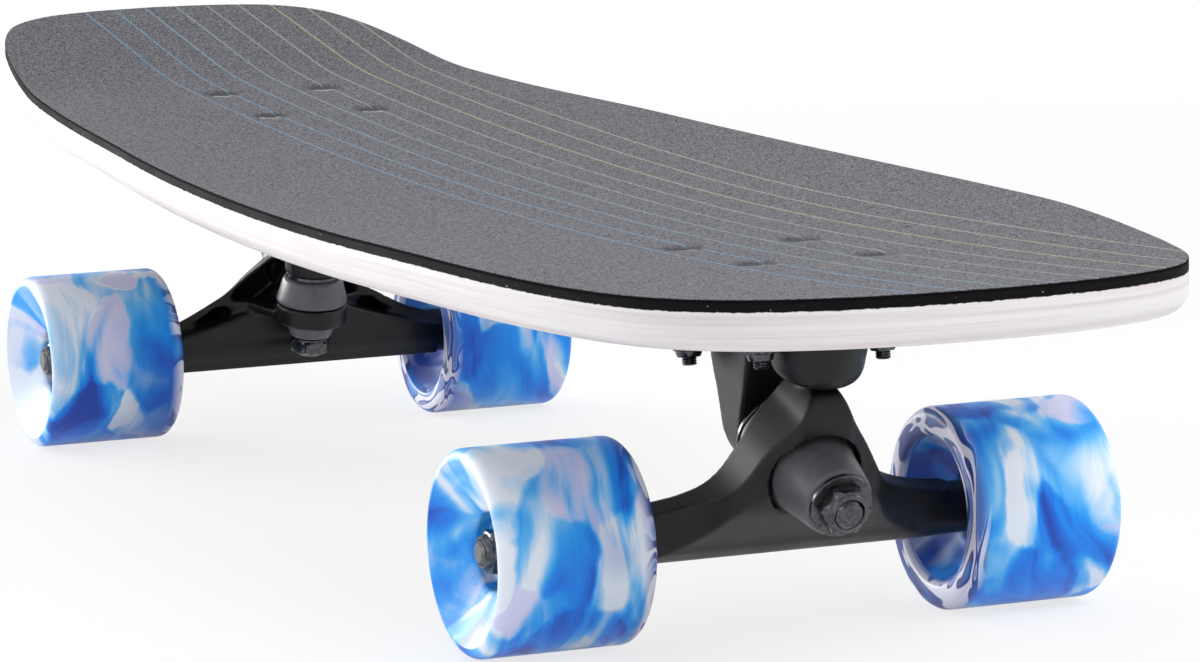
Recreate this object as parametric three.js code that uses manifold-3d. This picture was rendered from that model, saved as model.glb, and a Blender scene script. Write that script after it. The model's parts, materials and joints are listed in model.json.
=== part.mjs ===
// Surf skateboard: a kicktail deck on a reverse-kingpin front truck and a traditional rear truck.
// Millimetres, +Z up, +X towards the nose. The wheels stand on z = 0.

import * as THREE from 'three';
import { mergeVertices } from 'three/addons/utils/BufferGeometryUtils.js';
import Module from 'manifold-3d';

const wasm = await Module();
wasm.setup();
const { Manifold } = wasm;

// Clearances shared by every piece
const seat = 0.1;        // between rigid pieces that bear on each other
const softGap = 0.3;     // around rubber, urethane and anything that turns
const runningFit = 0.15; // radial, between a pin or ring and its bore
const overrun = 4;       // how far a cutting tool runs past the face it cuts

const deck = {
  length: 758,
  width: 233,
  thickness: 14.5,
  rockerRadius: 4650,
  flatHalfWidth: 31,     // the middle of the deck is flat across, and the concave starts here
  concaveRise: 6.2,
  padMargin: 5,          // flat stretch past each end of a truck's base plate
  restLength: 70,        // flat stretch at the lowest point, between the trucks
  kickLength: 126,
  kickBlend: 35,
  kickAngle: 10.2,
  rimRound: 6,
};

const grip = { thickness: 1, notchDepth: 2.4, notchHalfLength: 7 };

const noseToFrontBolts = 149.5;
const kickToRearBolts = 45.5;
const pattern = { along: 53.98, across: 41.3 };

const wheel = {
  radius: 32.5,
  width: 52,
  edgeRadius: 3.5,
  centre: 80,            // from the board's centre plane to the wheel's middle
  lipRadius: 24.8,       // mouth of the deep bowl on the truck side
  bowlRadius: 14.5,
  dishDepth: 8.6,        // the outer face is a shallow cone down to the recess
  recessRadius: 12.4,
  shoulderRadius: 9.4,
};

const bearing = {
  outside: 11,
  bore: 4,
  width: 7,
  raceWall: 2.2,
  ringWall: 1.4,
  shieldDepth: 0.5,
  spacer: 10,
};

const axle = { radius: 3.95, pastNut: 1 };

const kingpin = { radius: 4.75, headRadius: 8, headHeight: 5, pastNut: 1 };

const kingpinNut = { acrossFlats: 14.3, height: 5.6 };
const axleNut = { acrossFlats: 12.7, height: 7 };
const deckNut = { acrossFlats: 9.5, height: 6.2 };

const bolt = { radius: 2.45, headRadius: 5.2, headHeight: 2.9, belowGrip: 0.7, pastNut: 2.8 };

const plate = { length: 80, width: 57, thickness: 5.5, cornerRadius: 9 };

const ringHole = 7.6;    // kingpin hole in each hanger, wide enough for the steering range

const pivot = { pinRadius: 5.6, cupWall: 2.1, cupDepth: 11, cupFloor: 2 };

const front = {
  axleToBolts: -4.7,     // axle, nose-ward of the bolt group's centre
  height: 66.7,          // axle centre up to the top of the base plate
  riser: 4.3,
  plateTilt: 6.3,
  kingpinDip: 18,        // kingpin below the horizontal, nut end towards the nose
  ringForward: 20.3,     // ring centre, nose-ward of the axle
  ringUp: 22,            // ring centre, above the axle
  ringHalf: 6,
  ringFace: 8.6,         // ring centre to the rim around each bushing seat
  browFront: 13.4,       // the rim stands further out above the seats
  browBack: 11.5,
  seatRadius: 15.4,
  legHalfWidth: 13,
  legFace: 20.5,         // ring centre to the leg's bearing face
  legFoot: 12.5,         // leg's thickness at its foot
  legBackAngle: 35,
  bossRadius: 15,
  bossRoot: 16.2,        // the boss widens towards the plate
  bossFoot: 30.5,        // ring centre up the steering axis to the boss's lower face
  bossRound: 6,
  apexGap: 1,            // hanger's top to the boss
};

const rear = {
  axleToBolts: -14.8,
  height: 65.4,
  riser: 14,
  plateTilt: 0,
  kingpinLean: 11,       // from the vertical, top towards the nose
  ringForward: 24.4,
  ringUp: 14.8,
  ringHalf: 3.75,
  ringRadius: 13.6,
  bossRadius: 10.8,
  bossRoot: 13,
  pivotBack: 46.4,       // ring centre to pivot centre, tail-ward
  pivotUp: 31.1,
  housingHalfWidth: 11,
};

const beam = { radius: 8.7, endRadius: 8.2 };

const rearWeb = {
  top: 24,               // above the ring's centre
  front: 19,             // behind the ring's centre
  back: 32,
  pocketDepth: 10,
  draftShare: 0.3,
};

const boardBushing = { radius: 14, waist: 13.2, endRound: 1.6 };
const frontCone = { length: 20.6, large: 14.2, small: 11.2, endRound: 1.8 };
const rearCone = { length: 10.2, large: 13.9, small: 11.2, endRound: 1.8 };
const rearRoadCone = { length: 5.2, large: 9.5, small: 7.8, endRound: 0.6 };
const washer = { thickness: 1.6, radius: 10.3 };
const rearRoadWasher = { thickness: 1, radius: 7.4 };

// Sides of the round pieces
const sides = { tyre: 24, bearing: 12, small: 12, bolt: 8, bushing: 14, beam: 16, boss: 16 };

// Materials
const finish = (color, roughness, metalness) =>
  new THREE.MeshStandardMaterial({ color, roughness, metalness, flatShading: true });
const materials = {
  deck: finish(0xeeeae8, 0.4, 0),
  grip: finish(0x75747a, 0.95, 0),
  urethane: finish(0x3f7fd6, 0.35, 0),
  castBlack: finish(0x1d1d1f, 0.45, 0.3),
  bushing: finish(0x5e5d63, 0.6, 0),
  riser: finish(0x161616, 0.8, 0),
  fastener: finish(0x202022, 0.35, 0.8),
  bearing: finish(0x26262a, 0.4, 0.5),
  axle: finish(0x8a8b8f, 0.3, 0.9),
};

const rad = THREE.MathUtils.degToRad;
const skateboard = new THREE.Group();

// Turns a three.js geometry into a closed solid, whichever way it is wound
function solid(geometry, matrix) {
  const bare = geometry.clone();
  for (const name of Object.keys(bare.attributes)) {
    if (name !== 'position') bare.deleteAttribute(name);
  }
  if (matrix) bare.applyMatrix4(matrix);
  const merged = mergeVertices(bare, 1e-4);
  const position = merged.attributes.position.array;
  const index = merged.index.array;
  const corners = [];
  let volume = 0;
  for (let i = 0; i < index.length; i += 3) {
    const [a, b, c] = [index[i], index[i + 1], index[i + 2]];
    if (a === b || b === c || c === a) continue;
    corners.push(a, b, c);
    const p = [a, b, c].map((k) => new THREE.Vector3().fromArray(position, k * 3));
    volume += p[0].dot(p[1].cross(p[2]));
  }
  if (volume < 0) corners.reverse();
  return new Manifold(new wasm.Mesh({
    numProp: 3,
    vertProperties: new Float32Array(position),
    triVerts: new Uint32Array(corners),
  }));
}

const join = (...pieces) => Manifold.union(pieces);
const cut = (body, ...tools) => Manifold.difference([body, ...tools]);
const common = (...pieces) => Manifold.intersection(pieces);

function add(name, body, material) {
  const made = body.simplify(seat / 10).getMesh();
  const geometry = new THREE.BufferGeometry();
  geometry.setAttribute('position', new THREE.BufferAttribute(new Float32Array(made.vertProperties), 3));
  geometry.setIndex(new THREE.BufferAttribute(new Uint32Array(made.triVerts), 1));
  geometry.computeVertexNormals();
  const mesh = new THREE.Mesh(geometry, material);
  mesh.name = name;
  skateboard.add(mesh);
  return mesh;
}

// A frame at (x, z) on the centre plane, whose Z axis is `depth`; its X axis is the board's Y
function frameAt(x, z, up, depth) {
  const across = new THREE.Vector3(0, 1, 0);
  return new THREE.Matrix4().makeBasis(across, up, depth).setPosition(x, 0, z);
}

// A profile of [radius, height] turned about the frame's Z axis
function turned(profile, count, matrix) {
  const points = profile.map(([r, h]) => new THREE.Vector2(r, h));
  const geometry = new THREE.LatheGeometry(points, count);
  geometry.rotateX(Math.PI / 2);
  return solid(geometry, matrix);
}

const rod = (radius, from, to, count, matrix) =>
  turned([[0, from], [radius, from], [radius, to], [0, to]], count, matrix);

function tube(inner, outer, from, to, count, matrix) {
  return turned([[inner, from], [outer, from], [outer, to], [inner, to], [inner, from]], count, matrix);
}

// A flat outline in the frame's X and Y, from `from` to `to` along its Z
function slab(points, from, to, matrix) {
  const shape = new THREE.Shape(points.map(([x, y]) => new THREE.Vector2(x, y)));
  const geometry = new THREE.ExtrudeGeometry(shape, { depth: to - from, bevelEnabled: false });
  geometry.translate(0, 0, from);
  return solid(geometry, matrix);
}

// The same points mirrored in X, so that half an outline gives the whole
function mirrored(half) {
  const other = half.filter(([x]) => x > 0).map(([x, y]) => [-x, y]).reverse();
  return [...half, ...other];
}

function smoothOutline(points, divisions) {
  const corners = points.map(([x, y]) => new THREE.Vector3(x, y, 0));
  const curve = new THREE.CatmullRomCurve3(corners, false, 'centripetal');
  return curve.getPoints(divisions).map((p) => [p.x, p.y]);
}

function roundedRectangle(length, width, radius) {
  const corner = new THREE.Shape();
  const [a, b] = [length / 2, width / 2];
  corner.moveTo(a - radius, -b);
  corner.absarc(a - radius, -b + radius, radius, -Math.PI / 2, 0);
  corner.absarc(a - radius, b - radius, radius, 0, Math.PI / 2);
  corner.absarc(-a + radius, b - radius, radius, Math.PI / 2, Math.PI);
  corner.absarc(-a + radius, -b + radius, radius, Math.PI, 1.5 * Math.PI);
  return corner.getPoints(2).map((p) => [p.x, p.y]);
}

// Deck surface: rocker, flats, kick and concave

const frontBoltsX = deck.length / 2 - noseToFrontBolts;
const rearBoltsX = deck.kickLength + kickToRearBolts - deck.length / 2;
const frontTop = wheel.radius + front.height + front.riser + deck.thickness;
const rearTop = wheel.radius + rear.height + rear.riser + deck.thickness;

const lowX = (frontBoltsX + rearBoltsX) / 2
  + (rearTop - frontTop) * deck.rockerRadius / (frontBoltsX - rearBoltsX);
const lowZ = frontTop - (frontBoltsX - lowX) ** 2 / (2 * deck.rockerRadius);

const rockerArc = (x) => lowZ + (x - lowX) ** 2 / (2 * deck.rockerRadius);

// Each truck stands on a flat stretch of the deck, and a third one is the board's lowest place
const padHalf = plate.length / 2 + deck.padMargin;
const flats = [
  { x: frontBoltsX, half: padHalf },
  { x: rearBoltsX, half: padHalf },
  { x: lowX, half: deck.restLength / 2 },
];

// Height of the deck's top along its centre line
function centreLine(x) {
  const kickX = -deck.length / 2 + deck.kickLength;
  const flat = flats.find((f) => Math.abs(x - f.x) < f.half);
  if (flat) {
    const share = (x - flat.x + flat.half) / (2 * flat.half);
    return THREE.MathUtils.lerp(rockerArc(flat.x - flat.half), rockerArc(flat.x + flat.half), share);
  }
  if (x > kickX) return rockerArc(x);
  const past = kickX - x;
  const before = (lowX - kickX) / deck.rockerRadius;
  const after = Math.tan(rad(deck.kickAngle));
  const blended = Math.min(past, deck.kickBlend);
  const turnedIn = before * blended + (after - before) * blended ** 2 / (2 * deck.kickBlend);
  return rockerArc(kickX) + turnedIn + after * (past - blended);
}

// Where the concave starts and ends, as shares of the length from the deck's middle
const concaveShares = { tailStart: -0.385, tailFull: -0.13, noseFull: 0.24, noseEnd: 0.5 };

function deckTop(x, y) {
  const share = x / deck.length;
  const rise = THREE.MathUtils.smoothstep(share, concaveShares.tailStart, concaveShares.tailFull);
  const fall = 1 - THREE.MathUtils.smoothstep(share, concaveShares.noseFull, concaveShares.noseEnd);
  const beyond = Math.max(0, Math.abs(y) - deck.flatHalfWidth) / (deck.width / 2 - deck.flatHalfWidth);
  return centreLine(x) + deck.concaveRise * rise * fall * beyond ** 2;
}

// Half the outline from the tail's end to the nose's tip: shares of the length and of half the width
const outlineShares = [
  [-0.5, 0], [-0.4975, 0.25], [-0.491, 0.43], [-0.477, 0.56], [-0.45, 0.648], [-0.41, 0.71],
  [-0.35, 0.765], [-0.27, 0.823], [-0.18, 0.882], [-0.09, 0.934], [0, 0.972], [0.09, 0.996],
  [0.17, 1], [0.24, 0.985], [0.3, 0.953], [0.355, 0.9], [0.4, 0.836], [0.438, 0.75],
  [0.468, 0.61], [0.488, 0.41], [0.497, 0.21], [0.5, 0],
];

const outlineCurve = new THREE.CatmullRomCurve3(
  outlineShares.map(([along, across]) =>
    new THREE.Vector3(along * deck.length, across * deck.width / 2, 0)), false, 'centripetal');
const drawn = outlineCurve.getPoints(Math.round((outlineShares.length - 1) * 1.3));

// A point of the outline at a given place along the board
function outlineAt(x) {
  const after = drawn.findIndex((p) => p.x > x);
  const [a, b] = [drawn[after - 1], drawn[after]];
  return a.clone().lerp(b, (x - a.x) / (b.x - a.x));
}

// The flats start and end on points of their own, so that they stay exactly flat
const flatEnds = flats.flatMap((f) => [outlineAt(f.x - f.half), outlineAt(f.x + f.half)]);
const clearOfEnds = drawn.filter((p) => flatEnds.every((q) => Math.abs(p.x - q.x) > deck.thickness / 2));
const outline = [...clearOfEnds, ...flatEnds].sort((p, q) => p.x - q.x);

// Inward normal of the outline at each of its points
const inward = outline.map((point, i) => {
  if (i === 0) return new THREE.Vector3(1, 0, 0);
  if (i === outline.length - 1) return new THREE.Vector3(-1, 0, 0);
  const along = outline[i + 1].clone().sub(outline[i - 1]).normalize();
  return new THREE.Vector3(along.y, -along.x, 0);
});

// A board-shaped sheet. Each rim layer is [inset from the outline, drop below the top surface]
function sheet(lift, rim) {
  const rows = outline.map((point, i) => rim.map(([inset, drop]) => {
    const p = point.clone().addScaledVector(inward[i], inset);
    return { x: p.x, y: Math.max(0, p.y), drop };
  }));
  const position = [];
  const lay = (x, y, drop) => {
    position.push(x, y, deckTop(x, y) + lift - drop);
    return position.length / 3 - 1;
  };
  // Across the board: right rim, right slope, right flat edge, and the same to the left
  const across = ({ x, y, drop }) => {
    const flat = Math.min(deck.flatHalfWidth, y / 2);
    const slope = (flat + y) / 2;
    return [-y, -slope, -flat, flat, slope, y].map((at) => lay(x, at, drop));
  };
  const index = [];
  const quad = (a, b, c, d) => index.push(a, b, c, a, c, d);
  const faces = [0, rim.length - 1].map((layer) => rows.map((row) => across(row[layer])));
  for (let i = 0; i + 1 < rows.length; i++) {
    for (let k = 0; k + 1 < faces[0][i].length; k++) {
      quad(faces[0][i][k], faces[0][i + 1][k], faces[0][i + 1][k + 1], faces[0][i][k + 1]);
      quad(faces[1][i][k], faces[1][i][k + 1], faces[1][i + 1][k + 1], faces[1][i + 1][k]);
    }
  }
  for (const side of [-1, 1]) {
    const rings = rows.map((row) => row.map(({ x, y, drop }) => lay(x, side * y, drop)));
    for (let i = 0; i + 1 < rings.length; i++) {
      for (let j = 0; j + 1 < rim.length; j++) {
        const corners = [rings[i][j], rings[i][j + 1], rings[i + 1][j + 1], rings[i + 1][j]];
        if (side > 0) corners.reverse();
        quad(...corners);
      }
    }
  }
  const geometry = new THREE.BufferGeometry();
  geometry.setAttribute('position', new THREE.Float32BufferAttribute(position, 3));
  geometry.setIndex(index);
  return solid(geometry);
}

// A small V nicked into the griptape's edge, at a share of the length
function railNotch(alongShare, side, depth) {
  const x = alongShare * deck.length;
  const near = outline.reduce((best, p) => (Math.abs(p.x - x) < Math.abs(best.x - x) ? p : best));
  const point = [x, side * (near.y - depth)];
  const mouth = side * (near.y + depth);
  const reach = grip.notchHalfLength * 2;
  const corners = [point, [x + reach, mouth], [x - reach, mouth]];
  const from = lowZ - deck.thickness;
  return slab(side > 0 ? corners : corners.reverse(), from, rearTop + deck.kickLength);
}

// Placing the trucks

function plateFrame(truck, boltsX) {
  const tilt = rad(truck.plateTilt);
  const along = new THREE.Vector3(Math.cos(tilt), 0, Math.sin(tilt));
  const up = new THREE.Vector3(-Math.sin(tilt), 0, Math.cos(tilt));
  const across = new THREE.Vector3(0, 1, 0);
  const x = boltsX + (truck.riser + deck.thickness) * Math.tan(tilt);
  return new THREE.Matrix4().makeBasis(along, across, up).setPosition(x, 0, wheel.radius + truck.height);
}

const frontPlate = plateFrame(front, frontBoltsX);
const rearPlate = plateFrame(rear, rearBoltsX);
const frontAxleX = frontBoltsX + front.axleToBolts;
const rearAxleX = rearBoltsX + rear.axleToBolts;

const dip = rad(front.kingpinDip);
const frontUp = new THREE.Vector3(Math.sin(dip), 0, Math.cos(dip));
const frontOut = new THREE.Vector3(Math.cos(dip), 0, -Math.sin(dip));
const frontRing = { x: frontAxleX + front.ringForward, z: wheel.radius + front.ringUp };
// X is the board's Y, Y is up the steering axis, Z is along the kingpin to its nut
const frontFrame = frameAt(frontRing.x, frontRing.z, frontUp, frontOut);

const lean = rad(rear.kingpinLean);
const rearForward = new THREE.Vector3(Math.cos(lean), 0, -Math.sin(lean));
const rearDown = new THREE.Vector3(-Math.sin(lean), 0, -Math.cos(lean));
const rearRing = { x: rearAxleX + rear.ringForward, z: wheel.radius + rear.ringUp };
// X is the board's Y, Y is towards the nose, Z is down the kingpin to its nut
const rearFrame = frameAt(rearRing.x, rearRing.z, rearForward, rearDown);

// Turns a frame's Y axis into its Z axis, for what is turned about Y
const aboutY = new THREE.Matrix4().makeRotationX(-Math.PI / 2);
const steerFrame = frontFrame.clone().multiply(aboutY);

const pivotLength = Math.hypot(rear.pivotBack, rear.pivotUp);
const rearSteerUp = new THREE.Vector3(-rear.pivotBack / pivotLength, 0, rear.pivotUp / pivotLength);
const rearSteerAcross = new THREE.Vector3(rearSteerUp.z, 0, -rearSteerUp.x);
const rearSteerFrame = frameAt(rearRing.x, rearRing.z, rearSteerAcross.negate(), rearSteerUp);

// Everything above a plate's top face, to trim what reaches into the riser
function abovePlate(frame) {
  const size = plate.length * 2;
  const box = new THREE.BoxGeometry(size, size, size);
  box.translate(0, 0, size / 2);
  return solid(box, frame);
}

// Bolts, nuts and the holes they go through

const boltPlaces = [[1, 1], [1, -1], [-1, 1], [-1, -1]].map(([a, b]) =>
  [a * pattern.along / 2, b * pattern.across / 2]);

// Height of the deck's top surface above the plate's top, along a bolt's axis
function stackHeight(truck, frame, [x, y]) {
  const foot = new THREE.Vector3(x, y, 0).applyMatrix4(frame);
  const up = new THREE.Vector3(0, 0, 1).transformDirection(frame);
  const slope = (centreLine(foot.x + overrun) - centreLine(foot.x - overrun)) / (2 * overrun);
  return (centreLine(foot.x) - foot.z) / (up.z - slope * up.x);
}

function boltProfile(height, slack) {
  const top = height + grip.thickness - bolt.belowGrip;
  const neck = top - bolt.headHeight;
  return { top, neck, stem: bolt.radius + slack, head: bolt.headRadius + slack };
}

function boltSolid(height, matrix) {
  const { top, neck, stem, head } = boltProfile(height, 0);
  const foot = -plate.thickness - deckNut.height - bolt.pastNut;
  const land = bolt.belowGrip / 2;
  const profile = [[0, foot], [stem, foot], [stem, neck], [head, top - land], [head, top], [0, top]];
  return turned(profile, sides.bolt, matrix);
}

function boltCutter(height, matrix) {
  const { top, neck, stem, head } = boltProfile(height, runningFit + seat);
  const profile = [[0, -plate.thickness - overrun], [stem, -plate.thickness - overrun], [stem, neck],
    [head, top - bolt.belowGrip], [head, top + overrun], [0, top + overrun]];
  return turned(profile, sides.bolt, matrix);
}

function nut(size, bore, count, matrix) {
  const hexagon = rod(size.acrossFlats / Math.sqrt(3), 0, size.height, 6, matrix);
  const hole = rod(bore, -overrun, size.height + overrun, count, matrix);
  return cut(hexagon, hole);
}

const shifted = (frame, x, y, z) => frame.clone().multiply(new THREE.Matrix4().makeTranslation(x, y, z));
const flipped = (frame) => frame.clone().multiply(new THREE.Matrix4().makeRotationX(Math.PI));

const mountings = [
  { name: 'front', truck: front, frame: frontPlate },
  { name: 'rear', truck: rear, frame: rearPlate },
];

const boltCutters = [];
for (const { name, truck, frame } of mountings) {
  boltPlaces.forEach((place, i) => {
    const at = shifted(frame, ...place, 0);
    const height = stackHeight(truck, frame, place);
    boltCutters.push(boltCutter(height, at));
    add(`${name}_deck_bolt_${i + 1}`, boltSolid(height, at), materials.fastener);
    const under = flipped(shifted(frame, ...place, -plate.thickness - seat));
    const nutSolid = nut(deckNut, bolt.radius + runningFit, sides.bolt, under);
    add(`${name}_deck_nut_${i + 1}`, nutSolid, materials.fastener);
  });
}

// Deck and griptape

const rimRound = deck.rimRound;
const deckRim = [[0, 0], [0, deck.thickness - rimRound], [rimRound * 0.3, deck.thickness - rimRound * 0.3],
  [rimRound, deck.thickness]];
add('deck', cut(sheet(0, deckRim), ...boltCutters), materials.deck);

// The griptape is cut flush with the deck's edge
const gripRim = [[0, 0], [0, grip.thickness]];
const notches = [railNotch(0.2, 1, grip.notchDepth), railNotch(0.26, -1, grip.notchDepth * 0.6)];
add('griptape', cut(sheet(grip.thickness + seat, gripRim), ...notches, ...boltCutters), materials.grip);

// Risers: wedges between each base plate and the deck

function riser(frame, boltsX) {
  const shape = roundedRectangle(plate.length, plate.width, plate.cornerRadius);
  const block = slab(shape, seat, deck.thickness + rear.riser, frame);
  const [x0, x1] = [boltsX - padHalf, boltsX + padHalf];
  const underside = (x) => centreLine(x) - deck.thickness - seat;
  const cover = [[x0, underside(x0)], [x1, underside(x1)], [x1, rearTop + padHalf], [x0, rearTop + padHalf]];
  const sideways = new THREE.Matrix4().makeBasis(
    new THREE.Vector3(1, 0, 0), new THREE.Vector3(0, 0, 1), new THREE.Vector3(0, -1, 0));
  return cut(block, slab(cover, -plate.width, plate.width, sideways), ...boltCutters);
}

add('front_riser', riser(frontPlate, frontBoltsX), materials.riser);
add('rear_riser', riser(rearPlate, rearBoltsX), materials.riser);

// Pivot cup and the pin that turns in it, about a frame's Z axis, with the cup's mouth at `mouth`

const cupOutside = pivot.pinRadius + runningFit + pivot.cupWall;

function pivotCup(mouth, matrix) {
  const inner = pivot.pinRadius + runningFit;
  const top = mouth + pivot.cupDepth;
  const profile = [[inner, mouth], [cupOutside, mouth], [cupOutside, top - pivot.cupFloor],
    [inner, top], [0, top], [0, top - pivot.cupFloor], [inner * 0.6, top - pivot.cupFloor],
    [inner, top - 2 * pivot.cupFloor], [inner, mouth]];
  return turned(profile, sides.bushing, matrix);
}

function pivotPin(from, mouth, matrix) {
  const r = pivot.pinRadius;
  const tip = mouth + pivot.cupDepth - pivot.cupFloor - softGap;
  const profile = [[0, from], [r, from], [r, tip - pivot.cupFloor], [r * 0.58, tip], [0, tip]];
  return turned(profile, sides.bushing, matrix);
}

const cupPocket = (mouth, matrix) => turned([[0, mouth - overrun], [cupOutside + runningFit, mouth - overrun],
  [cupOutside + runningFit, mouth + pivot.cupDepth - pivot.cupFloor],
  [pivot.pinRadius + 2 * runningFit, mouth + pivot.cupDepth + seat], [0, mouth + pivot.cupDepth + seat]],
sides.bushing, matrix);

// Front base plate: plate, kingpin leg and pivot boss

function plateSlab(frame) {
  const shape = roundedRectangle(plate.length, plate.width, plate.cornerRadius);
  return slab(shape, -plate.thickness, 0, frame);
}

function frontBasePlate() {
  const w = front.legHalfWidth;
  const high = front.height;
  const face = [];
  for (let i = 0; i <= 6; i++) {
    const a = Math.PI * i / 6;
    face.push([-w * Math.cos(a), -w * Math.sin(a)]);
  }
  face.push([w * 1.15, high], [-w * 1.15, high]);
  const leg = slab(face, -high, -front.legFace, frontFrame);
  const back = front.legFace + front.legFoot;
  const lead = Math.tan(rad(front.legBackAngle));
  const foot = w * 0.2;
  // Side profile of the leg: X is up the steering axis, Y is back along the kingpin
  const profile = [[-w - overrun, front.legFace - seat], [high, front.legFace - seat],
    [high, back + (high + foot) * lead], [-foot, back], [-w * 0.75, back - front.legFoot * 0.35],
    [-w - overrun, front.legFace + front.legFoot * 0.25]];
  const sideways = frontFrame.clone().multiply(new THREE.Matrix4().makeBasis(
    new THREE.Vector3(0, 1, 0), new THREE.Vector3(0, 0, -1), new THREE.Vector3(-1, 0, 0)));
  const legSide = slab(profile, -w * 2, w * 2, sideways);
  const r = front.bossRadius;
  const f = front.bossFoot;
  const round = front.bossRound;
  const bossProfile = [[0, f], [r - round, f], [r - round * 0.3, f + round * 0.3], [r, f + round],
    [front.bossRoot, high], [0, high]];
  const boss = turned(bossProfile, sides.boss, steerFrame);
  const body = join(plateSlab(frontPlate), common(leg, legSide), boss);
  const headSeat = front.legFace + front.legFoot * 0.72;
  const headPocket = rod(kingpin.headRadius + softGap, -high, -headSeat, sides.small, frontFrame);
  const pinHole = rod(kingpin.radius + runningFit, -high, 0, sides.small, frontFrame);
  return {
    headSeat,
    body: cut(body, abovePlate(frontPlate), headPocket, pinHole, cupPocket(f, steerFrame), ...boltCutters),
  };
}

const frontBase = frontBasePlate();
add('front_baseplate', frontBase.body, materials.castBlack);
add('front_pivot_cup', pivotCup(front.bossFoot, steerFrame), materials.bushing);

// Kingpin, washers, bushings and nut, along a frame's Z axis

function kingpinSolid(headSeat, nutTop, matrix) {
  const tip = nutTop + kingpin.pastNut;
  const head = -headSeat - kingpin.headHeight;
  const profile = [[0, head], [kingpin.headRadius, head], [kingpin.headRadius, -headSeat - seat],
    [kingpin.radius, -headSeat - seat], [kingpin.radius, tip - kingpin.pastNut / 4],
    [kingpin.radius * 0.8, tip], [0, tip]];
  return turned(profile, sides.small, matrix);
}

function bushing(from, to, large, small, endRound, matrix) {
  const bore = kingpin.radius + softGap;
  const profile = [[bore, from], [large - endRound, from], [large, from + endRound],
    [small, to - endRound / 2], [small - endRound, to], [bore, to], [bore, from]];
  return turned(profile, sides.bushing, matrix);
}

const frontStack = {};
frontStack.washerBoard = -front.legFace + washer.thickness;
frontStack.road = front.ringHalf + softGap;
frontStack.roadEnd = frontStack.road + frontCone.length;
frontStack.washerRoad = frontStack.roadEnd + softGap;
frontStack.nut = frontStack.washerRoad + washer.thickness + seat;
frontStack.nutTop = frontStack.nut + kingpinNut.height;

const kingpinBore = kingpin.radius + runningFit;
add('front_kingpin', kingpinSolid(frontBase.headSeat, frontStack.nutTop, frontFrame), materials.fastener);
add('front_washer_board', tube(kingpinBore, boardBushing.radius,
  -front.legFace + seat, frontStack.washerBoard, sides.bushing, frontFrame), materials.fastener);
add('front_bushing_board', bushing(frontStack.washerBoard + softGap, -front.ringHalf - softGap,
  boardBushing.radius, boardBushing.waist, boardBushing.endRound, frontFrame), materials.bushing);
add('front_bushing_road', bushing(frontStack.road, frontStack.roadEnd,
  frontCone.large, frontCone.small, frontCone.endRound, frontFrame), materials.bushing);
add('front_washer_road', tube(kingpinBore, washer.radius, frontStack.washerRoad,
  frontStack.washerRoad + washer.thickness, sides.bushing, frontFrame), materials.fastener);
add('front_kingpin_nut', nut(kingpinNut, kingpinBore, sides.small,
  shifted(frontFrame, 0, 0, frontStack.nut)), materials.fastener);

// Wheels, bearings and axle ends, shared by both trucks

const hubHalf = bearing.spacer / 2 + bearing.width;
const hangerEnd = wheel.centre - hubHalf - washer.thickness / 2;
const hubOutside = wheel.centre + hubHalf + seat;
const axleEnd = hubOutside + washer.thickness / 2 + axleNut.height + axle.pastNut;

// A frame on an axle, whose Z axis points outward on the given side
function outwardFrame(x, side) {
  const across = new THREE.Vector3(1, 0, 0);
  const outward = new THREE.Vector3(0, side, 0);
  return new THREE.Matrix4().makeBasis(across, outward.clone().cross(across), outward)
    .setPosition(x, 0, wheel.radius);
}

function tyre(matrix) {
  const half = wheel.width / 2;
  const r = wheel.radius;
  const e = wheel.edgeRadius;
  const spacerHalf = bearing.spacer / 2;
  const seatRadius = bearing.outside + runningFit;
  const arc = (h, sign) => [0, 1, 2].map((i) => {
    const a = Math.PI / 2 * i / 2;
    return [r - e + e * Math.cos(a), h + sign * e * Math.sin(a)];
  });
  const lip = e / 4;
  const floor = half - wheel.dishDepth;
  const profile = [
    [wheel.shoulderRadius, -spacerHalf], [seatRadius, -spacerHalf], [seatRadius, -hubHalf],
    [wheel.bowlRadius, -hubHalf - lip], [wheel.lipRadius - lip, -half + lip], [wheel.lipRadius + lip, -half],
    ...arc(-half + e, -1).reverse(), ...arc(half - e, 1),
    [wheel.recessRadius, floor], [wheel.recessRadius, hubHalf],
    [seatRadius, hubHalf], [seatRadius, spacerHalf], [wheel.shoulderRadius, spacerHalf],
    [wheel.shoulderRadius, -spacerHalf],
  ];
  return turned(profile, sides.tyre, matrix);
}

const raceOutside = bearing.bore + bearing.raceWall;

function bearingRing(from, matrix) {
  const to = from + bearing.width;
  const shieldBore = raceOutside + softGap;
  const ringBore = bearing.outside - bearing.ringWall;
  const profile = [[shieldBore, from + seat], [bearing.outside, from + seat], [bearing.outside, to - seat],
    [ringBore, to - seat], [ringBore, to - bearing.shieldDepth], [shieldBore, to - bearing.shieldDepth],
    [shieldBore, from + seat]];
  return turned(profile, sides.bearing, matrix);
}

// Both inner races and the spacer between them
function bearingSleeve(matrix) {
  const spacerHalf = bearing.spacer / 2;
  const neck = bearing.bore + bearing.raceWall / 2;
  const bore = axle.radius + runningFit;
  const profile = [[bore, -hubHalf], [raceOutside, -hubHalf], [raceOutside, -spacerHalf], [neck, -spacerHalf],
    [neck, spacerHalf], [raceOutside, spacerHalf], [raceOutside, hubHalf], [bore, hubHalf], [bore, -hubHalf]];
  return turned(profile, sides.small, matrix);
}

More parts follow.
